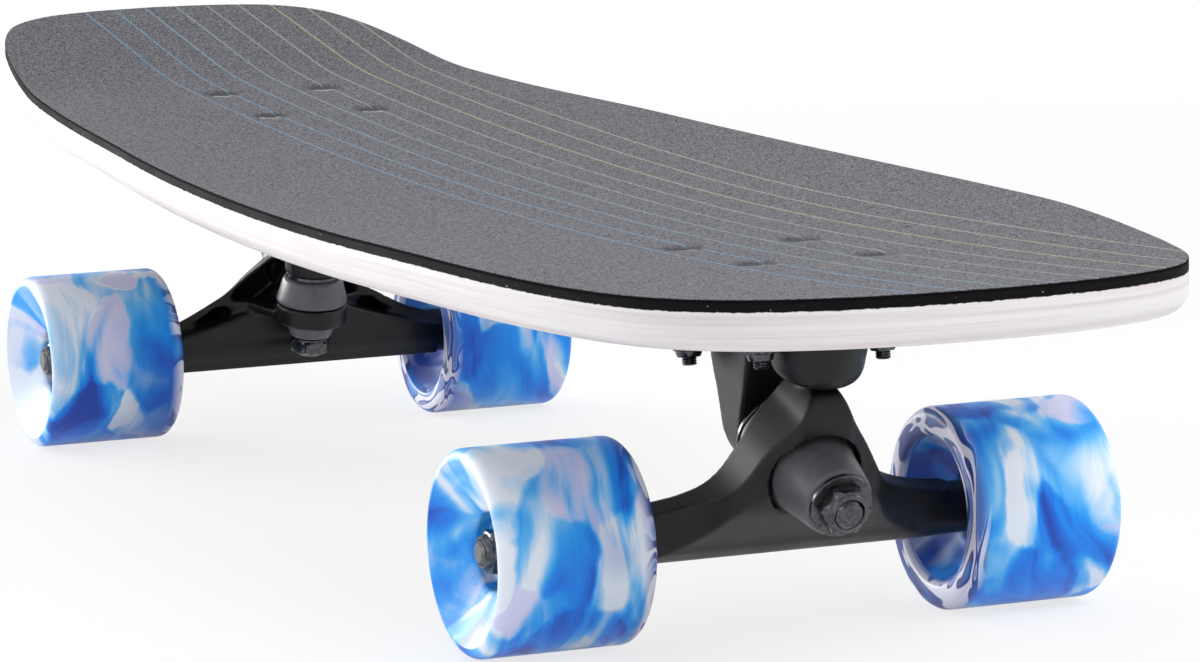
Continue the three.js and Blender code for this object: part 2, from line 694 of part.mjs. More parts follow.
function runningGear(name, axleX) {
  for (const [sideName, side] of [['left', 1], ['right', -1]]) {
    const hub = shifted(outwardFrame(axleX, side), 0, 0, wheel.centre);
    const wheelName = `${name}_${sideName}`;
    add(`${wheelName}_tyre`, tyre(hub), materials.urethane);
    add(`${wheelName}_bearing_inner`, bearingRing(-hubHalf, hub), materials.bearing);
    add(`${wheelName}_bearing_outer`, bearingRing(bearing.spacer / 2, hub), materials.bearing);
    add(`${wheelName}_bearing_sleeve`, bearingSleeve(hub), materials.axle);
    const end = shifted(outwardFrame(axleX, side), 0, 0, hubOutside + washer.thickness / 2);
    const nutSolid = nut(axleNut, axle.radius + runningFit, sides.small, end);
    add(`${wheelName}_axle_nut`, nutSolid, materials.fastener);
  }
  const through = outwardFrame(axleX, 1);
  const bevel = axle.radius / 4;
  const profile = [[0, -axleEnd], [axle.radius - bevel, -axleEnd], [axle.radius, -axleEnd + bevel],
    [axle.radius, axleEnd - bevel], [axle.radius - bevel, axleEnd], [0, axleEnd]];
  add(`${name}_axle`, turned(profile, sides.small, through), materials.axle);
}

runningGear('front', frontAxleX);
runningGear('rear', rearAxleX);

// Front hanger, in the front frame: X across, Y up the steering axis, Z towards the nut

// A point's Y and Z in a frame, from its place in the board's X and Z
function inFrame(frame, x, z) {
  const p = new THREE.Vector3(x, 0, z).applyMatrix4(frame.clone().invert());
  return { up: p.y, out: p.z };
}

function axleBeam(axleX) {
  const frame = outwardFrame(axleX, 1);
  const neck = hangerEnd - beam.radius / 4;
  const profile = [[0, -hangerEnd], [beam.endRadius * 0.9, -hangerEnd], [beam.endRadius, -neck],
    [beam.radius, -neck + 2 * beam.radius], [beam.radius, neck - 2 * beam.radius], [beam.endRadius, neck],
    [beam.endRadius * 0.9, hangerEnd], [0, hangerEnd]];
  return turned(profile, sides.beam, frame);
}

const axleBore = (axleX) => rod(axle.radius + runningFit, -hangerEnd - overrun, hangerEnd + overrun,
  sides.small, outwardFrame(axleX, 1));

// Half the front view: [share of the seat radius across, share of the apex height up]
const frontFlankShares = [[0.28, 1], [0.4, 0.9], [0.51, 0.79], [0.64, 0.66], [1.09, 0.33], [1.64, -0.135],
  [2.18, -0.36], [2.98, -0.52]];

// The beam's section as seen from the side: shares of its radius, up and out from the axle
const sideShares = [[0.1, 1.2], [-0.45, 0.95], [-0.88, 0.4], [-1, -0.1], [-0.6, -0.8], [0, -1], [0.6, -0.8]];

function frontHanger() {
  const a = inFrame(frontFrame, frontAxleX, wheel.radius);
  const r = beam.radius;
  const s = front.seatRadius;
  const h = front.ringFace;
  const brow = front.browFront;
  const back = front.browBack;
  const apex = front.bossFoot - front.apexGap;
  const shoulder = a.up + r;
  const foot = a.up - r;
  const wide = hangerEnd - r;
  const far = hangerEnd;
  const flank = smoothOutline([...frontFlankShares.map(([x, y]) => [x * s, y * apex]), [wide, shoulder]], 8);
  const frontView = mirrored([[0, apex], ...flank, [wide, foot], [0, foot]]);
  // Side view: the web leans from the beam up to the ring, and its brow overhangs both bushing seats
  const beamSide = sideShares.map(([up, out]) => [a.up + up * r, a.out + out * r]);
  const sideView = [[apex, -back * 0.7], [apex, brow * 0.7], [apex * 0.86, brow * 0.92], [s * 1.05, brow],
    [s * 0.5, (brow + h) / 2], [-s * 0.6, h], ...beamSide, [-s * 0.7, -h], [s * 0.5, -h], [s * 1.05, -back]];
  // Plan: full depth in the middle, down to the beam's depth at the wheels
  const plan = mirrored([[0, -back - r], [wide, a.out - r], [wide, a.out + r * 0.7], [s * 2.8, a.out + r],
    [s * 2.1, a.out + r * 1.4], [s * 1.5, h * 0.95], [s, h], [s * 0.55, brow], [0, brow]]);
  const sideways = frontFrame.clone().multiply(new THREE.Matrix4().makeBasis(
    new THREE.Vector3(0, 1, 0), new THREE.Vector3(0, 0, 1), new THREE.Vector3(1, 0, 0)));
  const fromAbove = frontFrame.clone().multiply(new THREE.Matrix4().makeBasis(
    new THREE.Vector3(1, 0, 0), new THREE.Vector3(0, 0, 1), new THREE.Vector3(0, -1, 0)));
  const web = common(
    slab(frontView, -far, far, frontFrame),
    slab(sideView, -far, far, sideways),
    slab(plan, -far, far, fromAbove),
  );
  const body = join(web, axleBeam(frontAxleX), pivotPin(apex / 2, front.bossFoot, steerFrame));
  const frontSeat = rod(s, front.ringHalf, brow + overrun, sides.boss, frontFrame);
  const backSeat = rod(s, -back - overrun, -front.ringHalf, sides.boss, frontFrame);
  const hole = rod(ringHole, -h, h, sides.bushing, frontFrame);
  return cut(body, frontSeat, backSeat, hole, axleBore(frontAxleX));
}

add('front_hanger', frontHanger(), materials.castBlack);

// Rear base plate: plate, kingpin boss and pivot housing

const rearStack = {};
rearStack.road = rear.ringHalf + softGap;
rearStack.roadEnd = rearStack.road + rearRoadCone.length;
rearStack.washerRoad = rearStack.roadEnd + softGap;
rearStack.nut = rearStack.washerRoad + rearRoadWasher.thickness + seat;
rearStack.nutTop = rearStack.nut + kingpinNut.height;
rearStack.board = -rear.ringHalf - softGap;
rearStack.boardEnd = rearStack.board - rearCone.length;
rearStack.washerBoard = rearStack.boardEnd - softGap;
rearStack.boss = rearStack.washerBoard - washer.thickness - seat;

const plateTopAlongKingpin = (rear.height - rear.ringUp) / Math.cos(lean);
const rearHeadSeat = plateTopAlongKingpin - kingpin.headHeight
  - kingpin.headRadius * Math.tan(lean) - 2 * seat;
const rearMouth = pivotLength - pivot.cupDepth / 2;

function rearBasePlate() {
  const bossProfile = [[0, -rear.height], [rear.bossRoot, -rear.height], [rear.bossRoot, -rearHeadSeat],
    [rear.bossRadius, rearStack.boss], [0, rearStack.boss]];
  const boss = turned(bossProfile, sides.boss, rearFrame);
  const housingEnd = rearMouth + pivot.cupDepth + pivot.cupFloor * 1.5;
  const cup = rod(rear.housingHalfWidth, rearMouth, housingEnd, sides.boss, rearSteerFrame);
  const w = rear.housingHalfWidth;
  const root = slab([[-plate.length / 2, -w], [-pattern.along / 4, -w], [-pattern.along / 4, w],
    [-plate.length / 2, w]], -plate.thickness, -plate.thickness / 2, rearPlate);
  const housing = Manifold.hull([cup, root]);
  const spine = slab([[-pattern.along / 2, -w / 2], [pattern.along / 2, -w / 2],
    [pattern.along / 2, w / 2], [-pattern.along / 2, w / 2]], -plate.thickness * 2.4, 0, rearPlate);
  const headRoom = kingpin.headRadius + softGap;
  const headPocket = rod(headRoom, -rear.height * 2, -rearHeadSeat, sides.small, rearFrame);
  const pinHole = rod(kingpin.radius + runningFit, -rear.height, 0, sides.small, rearFrame);
  return cut(join(plateSlab(rearPlate), boss, housing, spine), abovePlate(rearPlate), headPocket, pinHole,
    cupPocket(rearMouth, rearSteerFrame), ...boltCutters);
}

add('rear_baseplate', rearBasePlate(), materials.castBlack);
add('rear_pivot_cup', pivotCup(rearMouth, rearSteerFrame), materials.bushing);
add('rear_kingpin', kingpinSolid(rearHeadSeat, rearStack.nutTop, rearFrame), materials.fastener);
add('rear_washer_board', tube(kingpinBore, washer.radius, rearStack.washerBoard - washer.thickness,
  rearStack.washerBoard, sides.bushing, rearFrame), materials.fastener);
add('rear_bushing_board', bushing(-rearStack.board, -rearStack.boardEnd, rearCone.large, rearCone.small,
  rearCone.endRound, flipped(rearFrame)), materials.bushing);
add('rear_bushing_road', bushing(rearStack.road, rearStack.roadEnd, rearRoadCone.large, rearRoadCone.small,
  rearRoadCone.endRound, rearFrame), materials.bushing);
add('rear_washer_road', tube(kingpinBore, rearRoadWasher.radius, rearStack.washerRoad,
  rearStack.washerRoad + rearRoadWasher.thickness, sides.bushing, rearFrame), materials.fastener);
add('rear_kingpin_nut', nut(kingpinNut, kingpinBore, sides.small,
  shifted(rearFrame, 0, 0, rearStack.nut)), materials.fastener);

// Rear hanger, in the rear frame: X across, Y towards the nose, Z down the kingpin

// The web's outline and its pockets, as shares of the web's height above the ring's centre
const webShares = [[0.2, 0.94], [0.34, 0.8], [0.45, 0.68], [0.65, 0.54], [0.88, 0.38], [1.15, 0.16],
  [1.35, 0.03], [1.9, -0.26], [2.2, -0.37]];
const pocketShares = {
  large: [[0.36, 0.55], [0.17, 0.46], [0.21, 0.3], [0.33, 0.19], [0.6, 0], [0.83, -0.12], [1, -0.07],
    [1.1, 0.09], [0.98, 0.22], [0.72, 0.41], [0.46, 0.54]],
  small: [[1.35, -0.14], [1.19, -0.12], [1.15, -0.22], [1.33, -0.36], [1.65, -0.46], [1.84, -0.48],
    [1.7, -0.36]],
  middle: [[0.07, 0.18], [0.17, 0.18], [0.47, -0.01], [0.66, -0.12], [0.07, -0.12]],
};

// The ledge above the beam's front wall, as shares of the ring's radius
const ledgeShares = [[0, -0.07], [1.3, -0.22], [2, -0.45], [2.8, -0.69], [3.5, -0.87]];

function rearHanger() {
  const a = inFrame(rearFrame, rearAxleX, wheel.radius);
  const r = beam.radius;
  const wide = hangerEnd - r;
  const t = rearWeb.top;
  const scaled = (shares) => shares.map(([x, y]) => [x * t, y * t]);
  // X across, Y up the kingpin, Z towards the nose
  const upright = rearFrame.clone().multiply(new THREE.Matrix4().makeBasis(
    new THREE.Vector3(1, 0, 0), new THREE.Vector3(0, 0, -1), new THREE.Vector3(0, 1, 0)));
  const flank = smoothOutline([...scaled(webShares), [wide, -a.out + r]], 8);
  const lower = -a.out - r / 2;
  // The web and its pockets slope down towards the back
  const drafted = (corners, from, to) => slab(corners, from, to).warp((vertex) => {
    if (vertex[1] > -a.out + r / 2) vertex[1] += (vertex[2] + rearWeb.front) * rearWeb.draftShare;
  }).transform(upright.elements);
  const web = drafted(mirrored([[0, t], ...flank, [wide, lower], [0, lower]]), -rearWeb.back, -rearWeb.front);
  const deep = -rearWeb.front - rearWeb.pocketDepth;
  const pockets = Object.values(pocketShares).flatMap((shares) => [1, -1].map((side) =>
    drafted(scaled(shares).map(([x, y]) => [x * side, y]), deep, -rearWeb.front + overrun)));
  // Yoke: a plate from the web forward to the ring
  const ring = rear.ringRadius;
  const yokeView = mirrored([[0, ring / 4], [ring * 0.98, 0], [ring * 1.04, -ring * 0.35],
    [ring * 1.5, -rearWeb.front + r * 0.3], [ring * 2, -rearWeb.front], [ring * 2, a.up], [0, a.up]]);
  const yoke = slab(yokeView, 0, rear.ringHalf, rearFrame);
  const ringBody = rod(ring, -rear.ringHalf, rear.ringHalf, sides.boss, rearFrame);
  // The beam's front wall, which the yoke stands on
  const ledge = ledgeShares.map(([x, y]) => [x * ring, y * ring]);
  const wallView = mirrored([...ledge, [wide, -a.out + r * 0.6], [wide, -a.out - r * 0.8],
    [0, -a.out - r * 0.8]]);
  const wall = slab(wallView, a.up, a.up + r * 0.9, upright);
  // Pivot nose: from behind the ring up to the cup
  const neckFrom = rearWeb.front * 1.3;
  const neckTo = rearMouth - overrun;
  const neckRadius = pivot.pinRadius * 1.6;
  const nose = turned([[0, neckFrom], [neckRadius, neckFrom], [neckRadius, neckFrom + r],
    [pivot.pinRadius + overrun / 2, neckTo], [0, neckTo]], sides.bushing, rearSteerFrame);
  const body = join(cut(web, ...pockets), yoke, wall, ringBody, axleBeam(rearAxleX), nose,
    pivotPin(neckFrom, rearMouth, rearSteerFrame));
  const hole = rod(ringHole, -ring, ring, sides.bushing, rearFrame);
  return cut(body, hole, axleBore(rearAxleX));
}

add('rear_hanger', rearHanger(), materials.castBlack);

export default skateboard;
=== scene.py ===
"""Surf skateboard: the dressed model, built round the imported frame.

Pieces that the frame holds as plain solids are built again here with their fillets, threads and smooth
curves, each at the place where the frame has it. Profiles are in millimetres, and every object is in metres.
"""

import json
import math

import bpy
from mathutils import Matrix, Vector

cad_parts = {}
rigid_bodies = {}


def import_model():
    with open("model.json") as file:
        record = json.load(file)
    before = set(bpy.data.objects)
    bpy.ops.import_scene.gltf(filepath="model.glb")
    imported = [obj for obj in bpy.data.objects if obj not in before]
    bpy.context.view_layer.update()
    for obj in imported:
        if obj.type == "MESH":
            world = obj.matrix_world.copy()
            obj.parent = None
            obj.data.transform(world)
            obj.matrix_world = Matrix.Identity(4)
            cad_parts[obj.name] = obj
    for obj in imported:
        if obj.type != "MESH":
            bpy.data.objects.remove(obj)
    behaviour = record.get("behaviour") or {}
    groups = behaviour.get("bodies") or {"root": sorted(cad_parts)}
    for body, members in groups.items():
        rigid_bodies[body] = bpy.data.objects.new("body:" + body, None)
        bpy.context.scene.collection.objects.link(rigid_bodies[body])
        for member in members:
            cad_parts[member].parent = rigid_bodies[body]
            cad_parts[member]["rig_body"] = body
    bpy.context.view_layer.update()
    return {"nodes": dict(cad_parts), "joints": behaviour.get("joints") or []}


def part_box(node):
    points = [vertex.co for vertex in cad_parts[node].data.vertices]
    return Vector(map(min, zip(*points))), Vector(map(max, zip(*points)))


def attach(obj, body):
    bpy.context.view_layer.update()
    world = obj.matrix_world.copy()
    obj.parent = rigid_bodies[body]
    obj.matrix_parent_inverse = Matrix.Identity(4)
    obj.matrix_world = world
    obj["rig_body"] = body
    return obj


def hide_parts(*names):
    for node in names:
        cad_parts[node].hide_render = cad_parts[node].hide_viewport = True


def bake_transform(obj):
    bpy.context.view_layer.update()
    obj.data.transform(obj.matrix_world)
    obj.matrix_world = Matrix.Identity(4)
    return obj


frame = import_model()

MM = 0.001
NODES = frame["nodes"]
JOINTS = {joint["name"]: joint for joint in frame["joints"]}
SCENE = bpy.context.scene


# Camera, at the photograph's view of 1200 by 662 pixels

PHOTO_WIDTH = 1200
PHOTO_HEIGHT = 662
FOCAL_PIXELS = 5365.139
OPTICAL_CENTRE = (598.45, 299.348)
CAMERA_PLACE = (1.72641849, -0.695204563, 0.337860135)
CAMERA_YAW = -0.400704864
CAMERA_PITCH = 0.140126782
CAMERA_ROLL = -0.0199117046
SENSOR = 36


def make_camera():
    """The camera looks along the board from in front of its nose, a little to its right."""
    level = math.cos(CAMERA_PITCH)
    ahead = Vector((-math.cos(CAMERA_YAW) * level, -math.sin(CAMERA_YAW) * level, -math.sin(CAMERA_PITCH)))
    right = ahead.cross(Vector((0, 0, 1))).normalized()
    up = right.cross(ahead)
    cos_roll, sin_roll = math.cos(CAMERA_ROLL), math.sin(CAMERA_ROLL)
    axes = (cos_roll * right + sin_roll * up, cos_roll * up - sin_roll * right, -ahead)
    data = bpy.data.cameras.new("camera")
    data.sensor_width = SENSOR
    data.lens = FOCAL_PIXELS / PHOTO_WIDTH * SENSOR
    data.shift_x = (PHOTO_WIDTH / 2 - OPTICAL_CENTRE[0]) / PHOTO_WIDTH
    data.shift_y = (OPTICAL_CENTRE[1] - PHOTO_HEIGHT / 2) / PHOTO_WIDTH
    data.clip_start = 0.05
    camera = bpy.data.objects.new("camera", data)
    camera.matrix_world = Matrix.Translation(CAMERA_PLACE) @ Matrix(axes).transposed().to_4x4()
    SCENE.collection.objects.link(camera)
    SCENE.camera = camera


make_camera()


# Shader helpers

def node(tree, kind, inputs=None, **settings):
    """A shader node with its settings made and its inputs set or linked."""
    made = tree.nodes.new("ShaderNode" + kind)
    for key, value in settings.items():
        setattr(made, key, value)
    for key, value in (inputs or {}).items():
        if isinstance(value, bpy.types.NodeSocket):
            tree.links.new(value, made.inputs[key])
        else:
            made.inputs[key].default_value = value
    return made


def maths(tree, operation, *values):
    """A Math node's result."""
    return node(tree, "Math", dict(enumerate(values)), operation=operation).outputs[0]


def mapped(tree, value, low, high, to_low=0.0, to_high=1.0, smooth=False):
    """A value carried from one range to another, and held at its ends."""
    kind = "SMOOTHSTEP" if smooth else "LINEAR"
    sockets = {"Value": value, "From Min": low, "From Max": high, "To Min": to_low, "To Max": to_high}
    return node(tree, "MapRange", sockets, interpolation_type=kind).outputs["Result"]


def ramp(tree, value, stops, interpolation="LINEAR"):
    """A colour ramp of (position, colour) stops."""
    made = node(tree, "ValToRGB", {"Fac": value})
    band = made.color_ramp
    band.interpolation = interpolation
    while len(band.elements) < len(stops):
        band.elements.new(1.0)
    for element, (position, colour) in zip(band.elements, stops):
        element.position = position
        element.color = (*colour, 1)
    return made.outputs["Color"]


def blend(tree, share, first, second):
    """One colour over another, by a share."""
    made = node(tree, "Mix", {"Factor": share}, data_type="RGBA")
    for key, value in ((6, first), (7, second)):
        if isinstance(value, bpy.types.NodeSocket):
            tree.links.new(value, made.inputs[key])
        else:
            made.inputs[key].default_value = (*value, 1)
    return made.outputs[2]


def effect(name, inputs, outputs, build):
    """A node group. build(tree, group inputs) gives the sockets for the outputs, in order."""
    tree = bpy.data.node_groups.new(name, "ShaderNodeTree")
    for key, default in inputs.items():
        vector = isinstance(default, tuple)
        kind = "NodeSocketVector" if vector else "NodeSocketFloat"
        socket = tree.interface.new_socket(key, in_out="INPUT", socket_type=kind)
        socket.default_value = default
    for key, kind in outputs.items():
        tree.interface.new_socket(key, in_out="OUTPUT", socket_type="NodeSocket" + kind)
    enter = tree.nodes.new("NodeGroupInput")
    leave = tree.nodes.new("NodeGroupOutput")
    for key, result in zip(outputs, build(tree, enter.outputs)):
        tree.links.new(result, leave.inputs[key])
    return tree


def placed(tree, group, **inputs):
    """A node group placed in a material."""
    made = tree.nodes.new("ShaderNodeGroup")
    made.node_tree = group
    for key, value in inputs.items():
        socket = made.inputs[key.replace("_", " ")]
        if isinstance(value, bpy.types.NodeSocket):
            tree.links.new(value, socket)
        else:
            socket.default_value = value
    return made.outputs


def material(name, **sockets):
    """A Principled material. Plain numbers and colours are set on the shader's own sockets."""
    made = bpy.data.materials.new(name)
    made.use_nodes = True
    shader = made.node_tree.nodes["Principled BSDF"]
    for key, value in sockets.items():
        socket = shader.inputs[key.replace("_", " ").title().replace("Ior", "IOR")]
        socket.default_value = (*value, 1) if isinstance(value, tuple) else value
    return made, made.node_tree, shader


# Effects that several finishes share

def _grain(tree, given):
    """A fine grain, as a mask of light and dark and as a height."""
    noise = node(tree, "TexNoise", {"Vector": given["Vector"], "Scale": given["Scale"], "Detail": 2.0})
    value = mapped(tree, noise.outputs["Fac"], 0.3, 0.7)
    return value, noise.outputs["Fac"]


grain = effect("grain", {"Vector": (0.0, 0.0, 0.0), "Scale": 1000.0},
               {"Mask": "Float", "Height": "Float"}, _grain)


def _swirl(tree, given):
    """Colours stirred together: noise whose place is pushed about by a coarser noise."""
    wide = node(tree, "TexNoise", {"Vector": given["Vector"], "Scale": given["Scale"], "Detail": 1.0})
    push = node(tree, "VectorMath", {0: wide.outputs["Color"], 1: (0.5, 0.5, 0.5)}, operation="SUBTRACT")
    reach = node(tree, "VectorMath", {0: push.outputs[0], "Scale": given["Push"]}, operation="SCALE")
    stirred = node(tree, "VectorMath", {0: given["Vector"], 1: reach.outputs[0]}, operation="ADD")
    fine = node(tree, "TexNoise", {"Vector": stirred.outputs[0], "Detail": given["Detail"], "Roughness": 0.5,
                                   "Scale": maths(tree, "MULTIPLY", given["Scale"], 1.3),
                                   "Distortion": given["Curl"]})
    return fine.outputs["Fac"], wide.outputs["Fac"], stirred.outputs[0]


swirl = effect("swirl", {"Vector": (0.0, 0.0, 0.0), "Scale": 30.0, "Push": 0.02, "Detail": 2.0, "Curl": 0.6},
               {"Share": "Float", "Fold": "Float", "Stirred": "Vector"}, _swirl)


def _rub(tree, given):
    """Uneven polish: a slow change in how rough a surface is."""
    slow = node(tree, "TexNoise", {"Vector": given["Vector"], "Scale": given["Scale"], "Detail": 3.0})
    return (mapped(tree, slow.outputs["Fac"], 0.35, 0.65, given["Smooth"], given["Rough"]),)


rub = effect("rub", {"Vector": (0.0, 0.0, 0.0), "Scale": 60.0, "Smooth": 0.35, "Rough": 0.45},
             {"Roughness": "Float"}, _rub)


def bumped(tree, shader, height, strength, distance):
    """Relief on a surface, from a height."""
    bump = node(tree, "Bump", {"Height": height, "Strength": strength, "Distance": distance})
    tree.links.new(bump.outputs["Normal"], shader.inputs["Normal"])


# Griptape: grit, and nine pinstripes along the board

INK = (0.006, 0.006, 0.007)
STRIPES = 9
STRIPE_NEAREST = -30.5 * MM
STRIPE_SPACING = 13.2 * MM
STRIPE_HALF_WIDTH = 0.42 * MM
# Past a slanted line on the nose the stripes drift to the left, faster and faster
DRIFT_SLANT = 1.85
DRIFT_START = 0.15
DRIFT_RATE = 0.1376
STRIPE_COLOURS = [
    (0.17, 0.32, 0.47), (0.17, 0.33, 0.46), (0.2, 0.36, 0.44), (0.24, 0.37, 0.41), (0.29, 0.37, 0.34),
    (0.36, 0.4, 0.32), (0.45, 0.44, 0.27), (0.42, 0.4, 0.28), (0.41, 0.4, 0.3),
]
GRIP_DARK = (0.03, 0.029, 0.034)
GRIP_LIGHT = (0.232, 0.23, 0.256)
# Painted shade for the bolt dimples: the colour that the tape is darkened towards there
DIMPLE_SHADE = (0.035, 0.035, 0.04)


def make_griptape():
    """Griptape's finish: grit in two sizes, the worn stripes, ink down its cut edge, and painted shade in the
    bolts' dimples.
    """
    made, tree, shader = material("griptape", roughness=0.9)
    place = node(tree, "TexCoord").outputs["Object"]
    axes = node(tree, "SeparateXYZ", {"Vector": place}).outputs
    grit = placed(tree, grain, Vector=place, Scale=1700.0)
    coarse = placed(tree, grain, Vector=place, Scale=700.0)
    value = maths(tree, "ADD", maths(tree, "MULTIPLY", grit["Mask"], 0.7),
                  maths(tree, "MULTIPLY", coarse["Mask"], 0.3))
    base = blend(tree, mapped(tree, value, 0.25, 0.75), GRIP_DARK, GRIP_LIGHT)
    slanted = maths(tree, "MULTIPLY_ADD", axes["Y"], DRIFT_SLANT, axes["X"])
    past = maths(tree, "MAXIMUM", maths(tree, "SUBTRACT", slanted, DRIFT_START), 0.0)
    drift = maths(tree, "MULTIPLY", maths(tree, "MULTIPLY", past, past), DRIFT_RATE)
    across = maths(tree, "SUBTRACT", maths(tree, "SUBTRACT", axes["Y"], drift), STRIPE_NEAREST)
    count = maths(tree, "DIVIDE", across, STRIPE_SPACING)
    nearest = maths(tree, "ROUND", count)
    off = maths(tree, "ABSOLUTE", maths(tree, "SUBTRACT", count, nearest))
    half = STRIPE_HALF_WIDTH / STRIPE_SPACING
    on_stripe = mapped(tree, off, half * 0.6, half * 1.4, 1.0, 0.0)
    first = maths(tree, "GREATER_THAN", count, -0.5)
    last = maths(tree, "LESS_THAN", count, STRIPES - 0.5)
    mask = maths(tree, "MULTIPLY", on_stripe, maths(tree, "MULTIPLY", first, last))
    worn = maths(tree, "MULTIPLY", mask, mapped(tree, grit["Mask"], 0.0, 1.0, 0.45, 1.0))
    # Each stripe's colour sits in the middle of its own band of the ramp
    share = maths(tree, "DIVIDE", maths(tree, "ADD", nearest, 0.5), float(STRIPES))
    stops = [(i / STRIPES, colour) for i, colour in enumerate(STRIPE_COLOURS)]
    colours = ramp(tree, share, stops, "CONSTANT")
    faced = blend(tree, worn, base, colours)
    depth = node(tree, "Attribute", attribute_name="depth").outputs["Fac"]
    side = mapped(tree, depth, 0.1 * MM, 0.25 * MM)
    # Painted shade: the tape's colour is darkened in the dimples where the bolts pull it down
    pressed = node(tree, "Attribute", attribute_name="pressed").outputs["Fac"]
    dimple_shaded = blend(tree, mapped(tree, pressed, 0.15, 0.8, 0.0, 0.75), faced, DIMPLE_SHADE)
    tree.links.new(blend(tree, side, dimple_shaded, INK), shader.inputs["Base Color"])
    tree.links.new(mapped(tree, side, 0.0, 1.0, 0.25, 0.03), shader.inputs["Specular IOR Level"])
    bumped(tree, shader, grit["Height"], 0.5, 0.0003)
    return made


# Deck: white lacquered plies with a black one on top

BLACK_PLY = 2.7 * MM
PLY_RAGGED = 0.28 * MM
DECK_WHITE = (0.78, 0.755, 0.755)
DECK_STREAK = (0.58, 0.49, 0.5)
SPECK = (0.02, 0.3, 0.32)


def make_deck_finish():
    """The deck's finish, by each point's depth below its top: a ragged black ply, then white ones."""
    made, tree, shader = material("deck_wood", coat_roughness=0.25)
    place = node(tree, "TexCoord").outputs["Object"]
    axes = node(tree, "SeparateXYZ", {"Vector": place}).outputs
    depth = node(tree, "Attribute", attribute_name="depth").outputs["Fac"]
    # Streaks run along the edge, so their pattern is stretched along the board
    along = node(tree, "CombineXYZ", {"X": maths(tree, "MULTIPLY", axes["X"], 5.0),
                                      "Y": maths(tree, "MULTIPLY", axes["Y"], 5.0),
                                      "Z": maths(tree, "MULTIPLY", depth, 420.0)}).outputs[0]
    plies = node(tree, "TexNoise", {"Vector": along, "Scale": 1.0, "Detail": 4.0, "Roughness": 0.6})
    streak = mapped(tree, plies.outputs["Fac"], 0.42, 0.7)
    white = blend(tree, maths(tree, "MULTIPLY", streak, 0.75), DECK_WHITE, DECK_STREAK)
    # Small teal specks in the lacquer, far apart
    spots = node(tree, "TexVoronoi", {"Vector": place, "Scale": 34.0})
    near = mapped(tree, spots.outputs["Distance"], 0.03, 0.05, 1.0, 0.0)
    kind = node(tree, "SeparateXYZ", {"Vector": spots.outputs["Color"]}).outputs["X"]
    speck = maths(tree, "MULTIPLY", near, maths(tree, "GREATER_THAN", kind, 0.8))
    white = blend(tree, speck, white, SPECK)
    chips = node(tree, "TexNoise", {"Vector": place, "Scale": 420.0, "Detail": 4.0, "Roughness": 0.75})
    ragged = maths(tree, "MULTIPLY", maths(tree, "SUBTRACT", chips.outputs["Fac"], 0.5), 4 * PLY_RAGGED)
    edge = maths(tree, "ADD", depth, ragged)
    in_ply = mapped(tree, edge, BLACK_PLY - 0.1 * MM, BLACK_PLY + 0.1 * MM, 1.0, 0.0)
    nicked = mapped(tree, chips.outputs["Fac"], 0.68, 0.7)
    black = blend(tree, nicked, INK, DECK_WHITE)
    tree.links.new(blend(tree, in_ply, white, black), shader.inputs["Base Color"])
    polish = placed(tree, rub, Vector=place, Scale=35.0, Smooth=0.3, Rough=0.42)["Roughness"]
    tree.links.new(maths(tree, "MULTIPLY_ADD", in_ply, 0.35, polish), shader.inputs["Roughness"])
    tree.links.new(mapped(tree, in_ply, 0.0, 1.0, 0.5, 0.05), shader.inputs["Specular IOR Level"])
    tree.links.new(mapped(tree, in_ply, 0.0, 1.0, 0.2, 0.0), shader.inputs["Coat Weight"])
    bumped(tree, shader, plies.outputs["Fac"], 0.15, 0.0002)
    return made


# Wheels: poured urethane in blues, white and lavender

URETHANE = [
    (0.18, (0.0, 0.05, 0.42)), (0.27, (0.0, 0.11, 0.62)), (0.35, (0.0, 0.2, 0.84)), (0.43, (0.0, 0.29, 0.92)),
    (0.5, (0.03, 0.38, 0.96)), (0.58, (0.13, 0.52, 1.0)), (0.65, (0.34, 0.65, 1.0)), (0.75, (0.8, 0.88, 1.0)),
]
LAVENDER = (0.62, 0.6, 0.93)
DEEP = (0.0, 0.07, 0.5)
CRISP = [
    (0.0, (0.0, 0.12, 0.55)), (0.34, (0.0, 0.2, 0.7)), (0.4, (0.02, 0.04, 0.24)), (0.435, (0.02, 0.05, 0.28)),
    (0.445, (0.74, 0.76, 0.92)), (0.545, (0.82, 0.82, 0.94)), (0.553, (0.02, 0.07, 0.34)),
    (0.6, (0.02, 0.06, 0.3)), (0.606, (0.5, 0.55, 0.85)), (0.63, (0.1, 0.2, 0.6)), (1.0, (0.01, 0.03, 0.2)),
]
WHEEL_RADIUS = 32.5 * MM
BOWL_LIP = 24 * MM
INNER_FACE = 56.5 * MM  # from the board's centre plane: here the truck side of each wheel starts
BOWL_DEPTH = 30 * MM
# A pattern runs round a ring of this radius, which grows a little from the hub to the tread
HUB_PATTERN = 16 * MM
TREAD_PATTERN = 22 * MM
SMALLEST_RADIUS = 4 * MM
FRONT_SHIFT = 0.37  # moves the front wheels' pattern on, so that it isn't the rear wheels' again
ARC_DRAW = 0.55  # below 1, the flat face's veins run longer round the ring
ARC_STEP = 1.5   # above 1, they lie closer together across it


def axle_x(truck):
    """Where a truck's axle lies along the board."""
    low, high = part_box(f"{truck}_axle")
    return (low[0] + high[0]) / 2


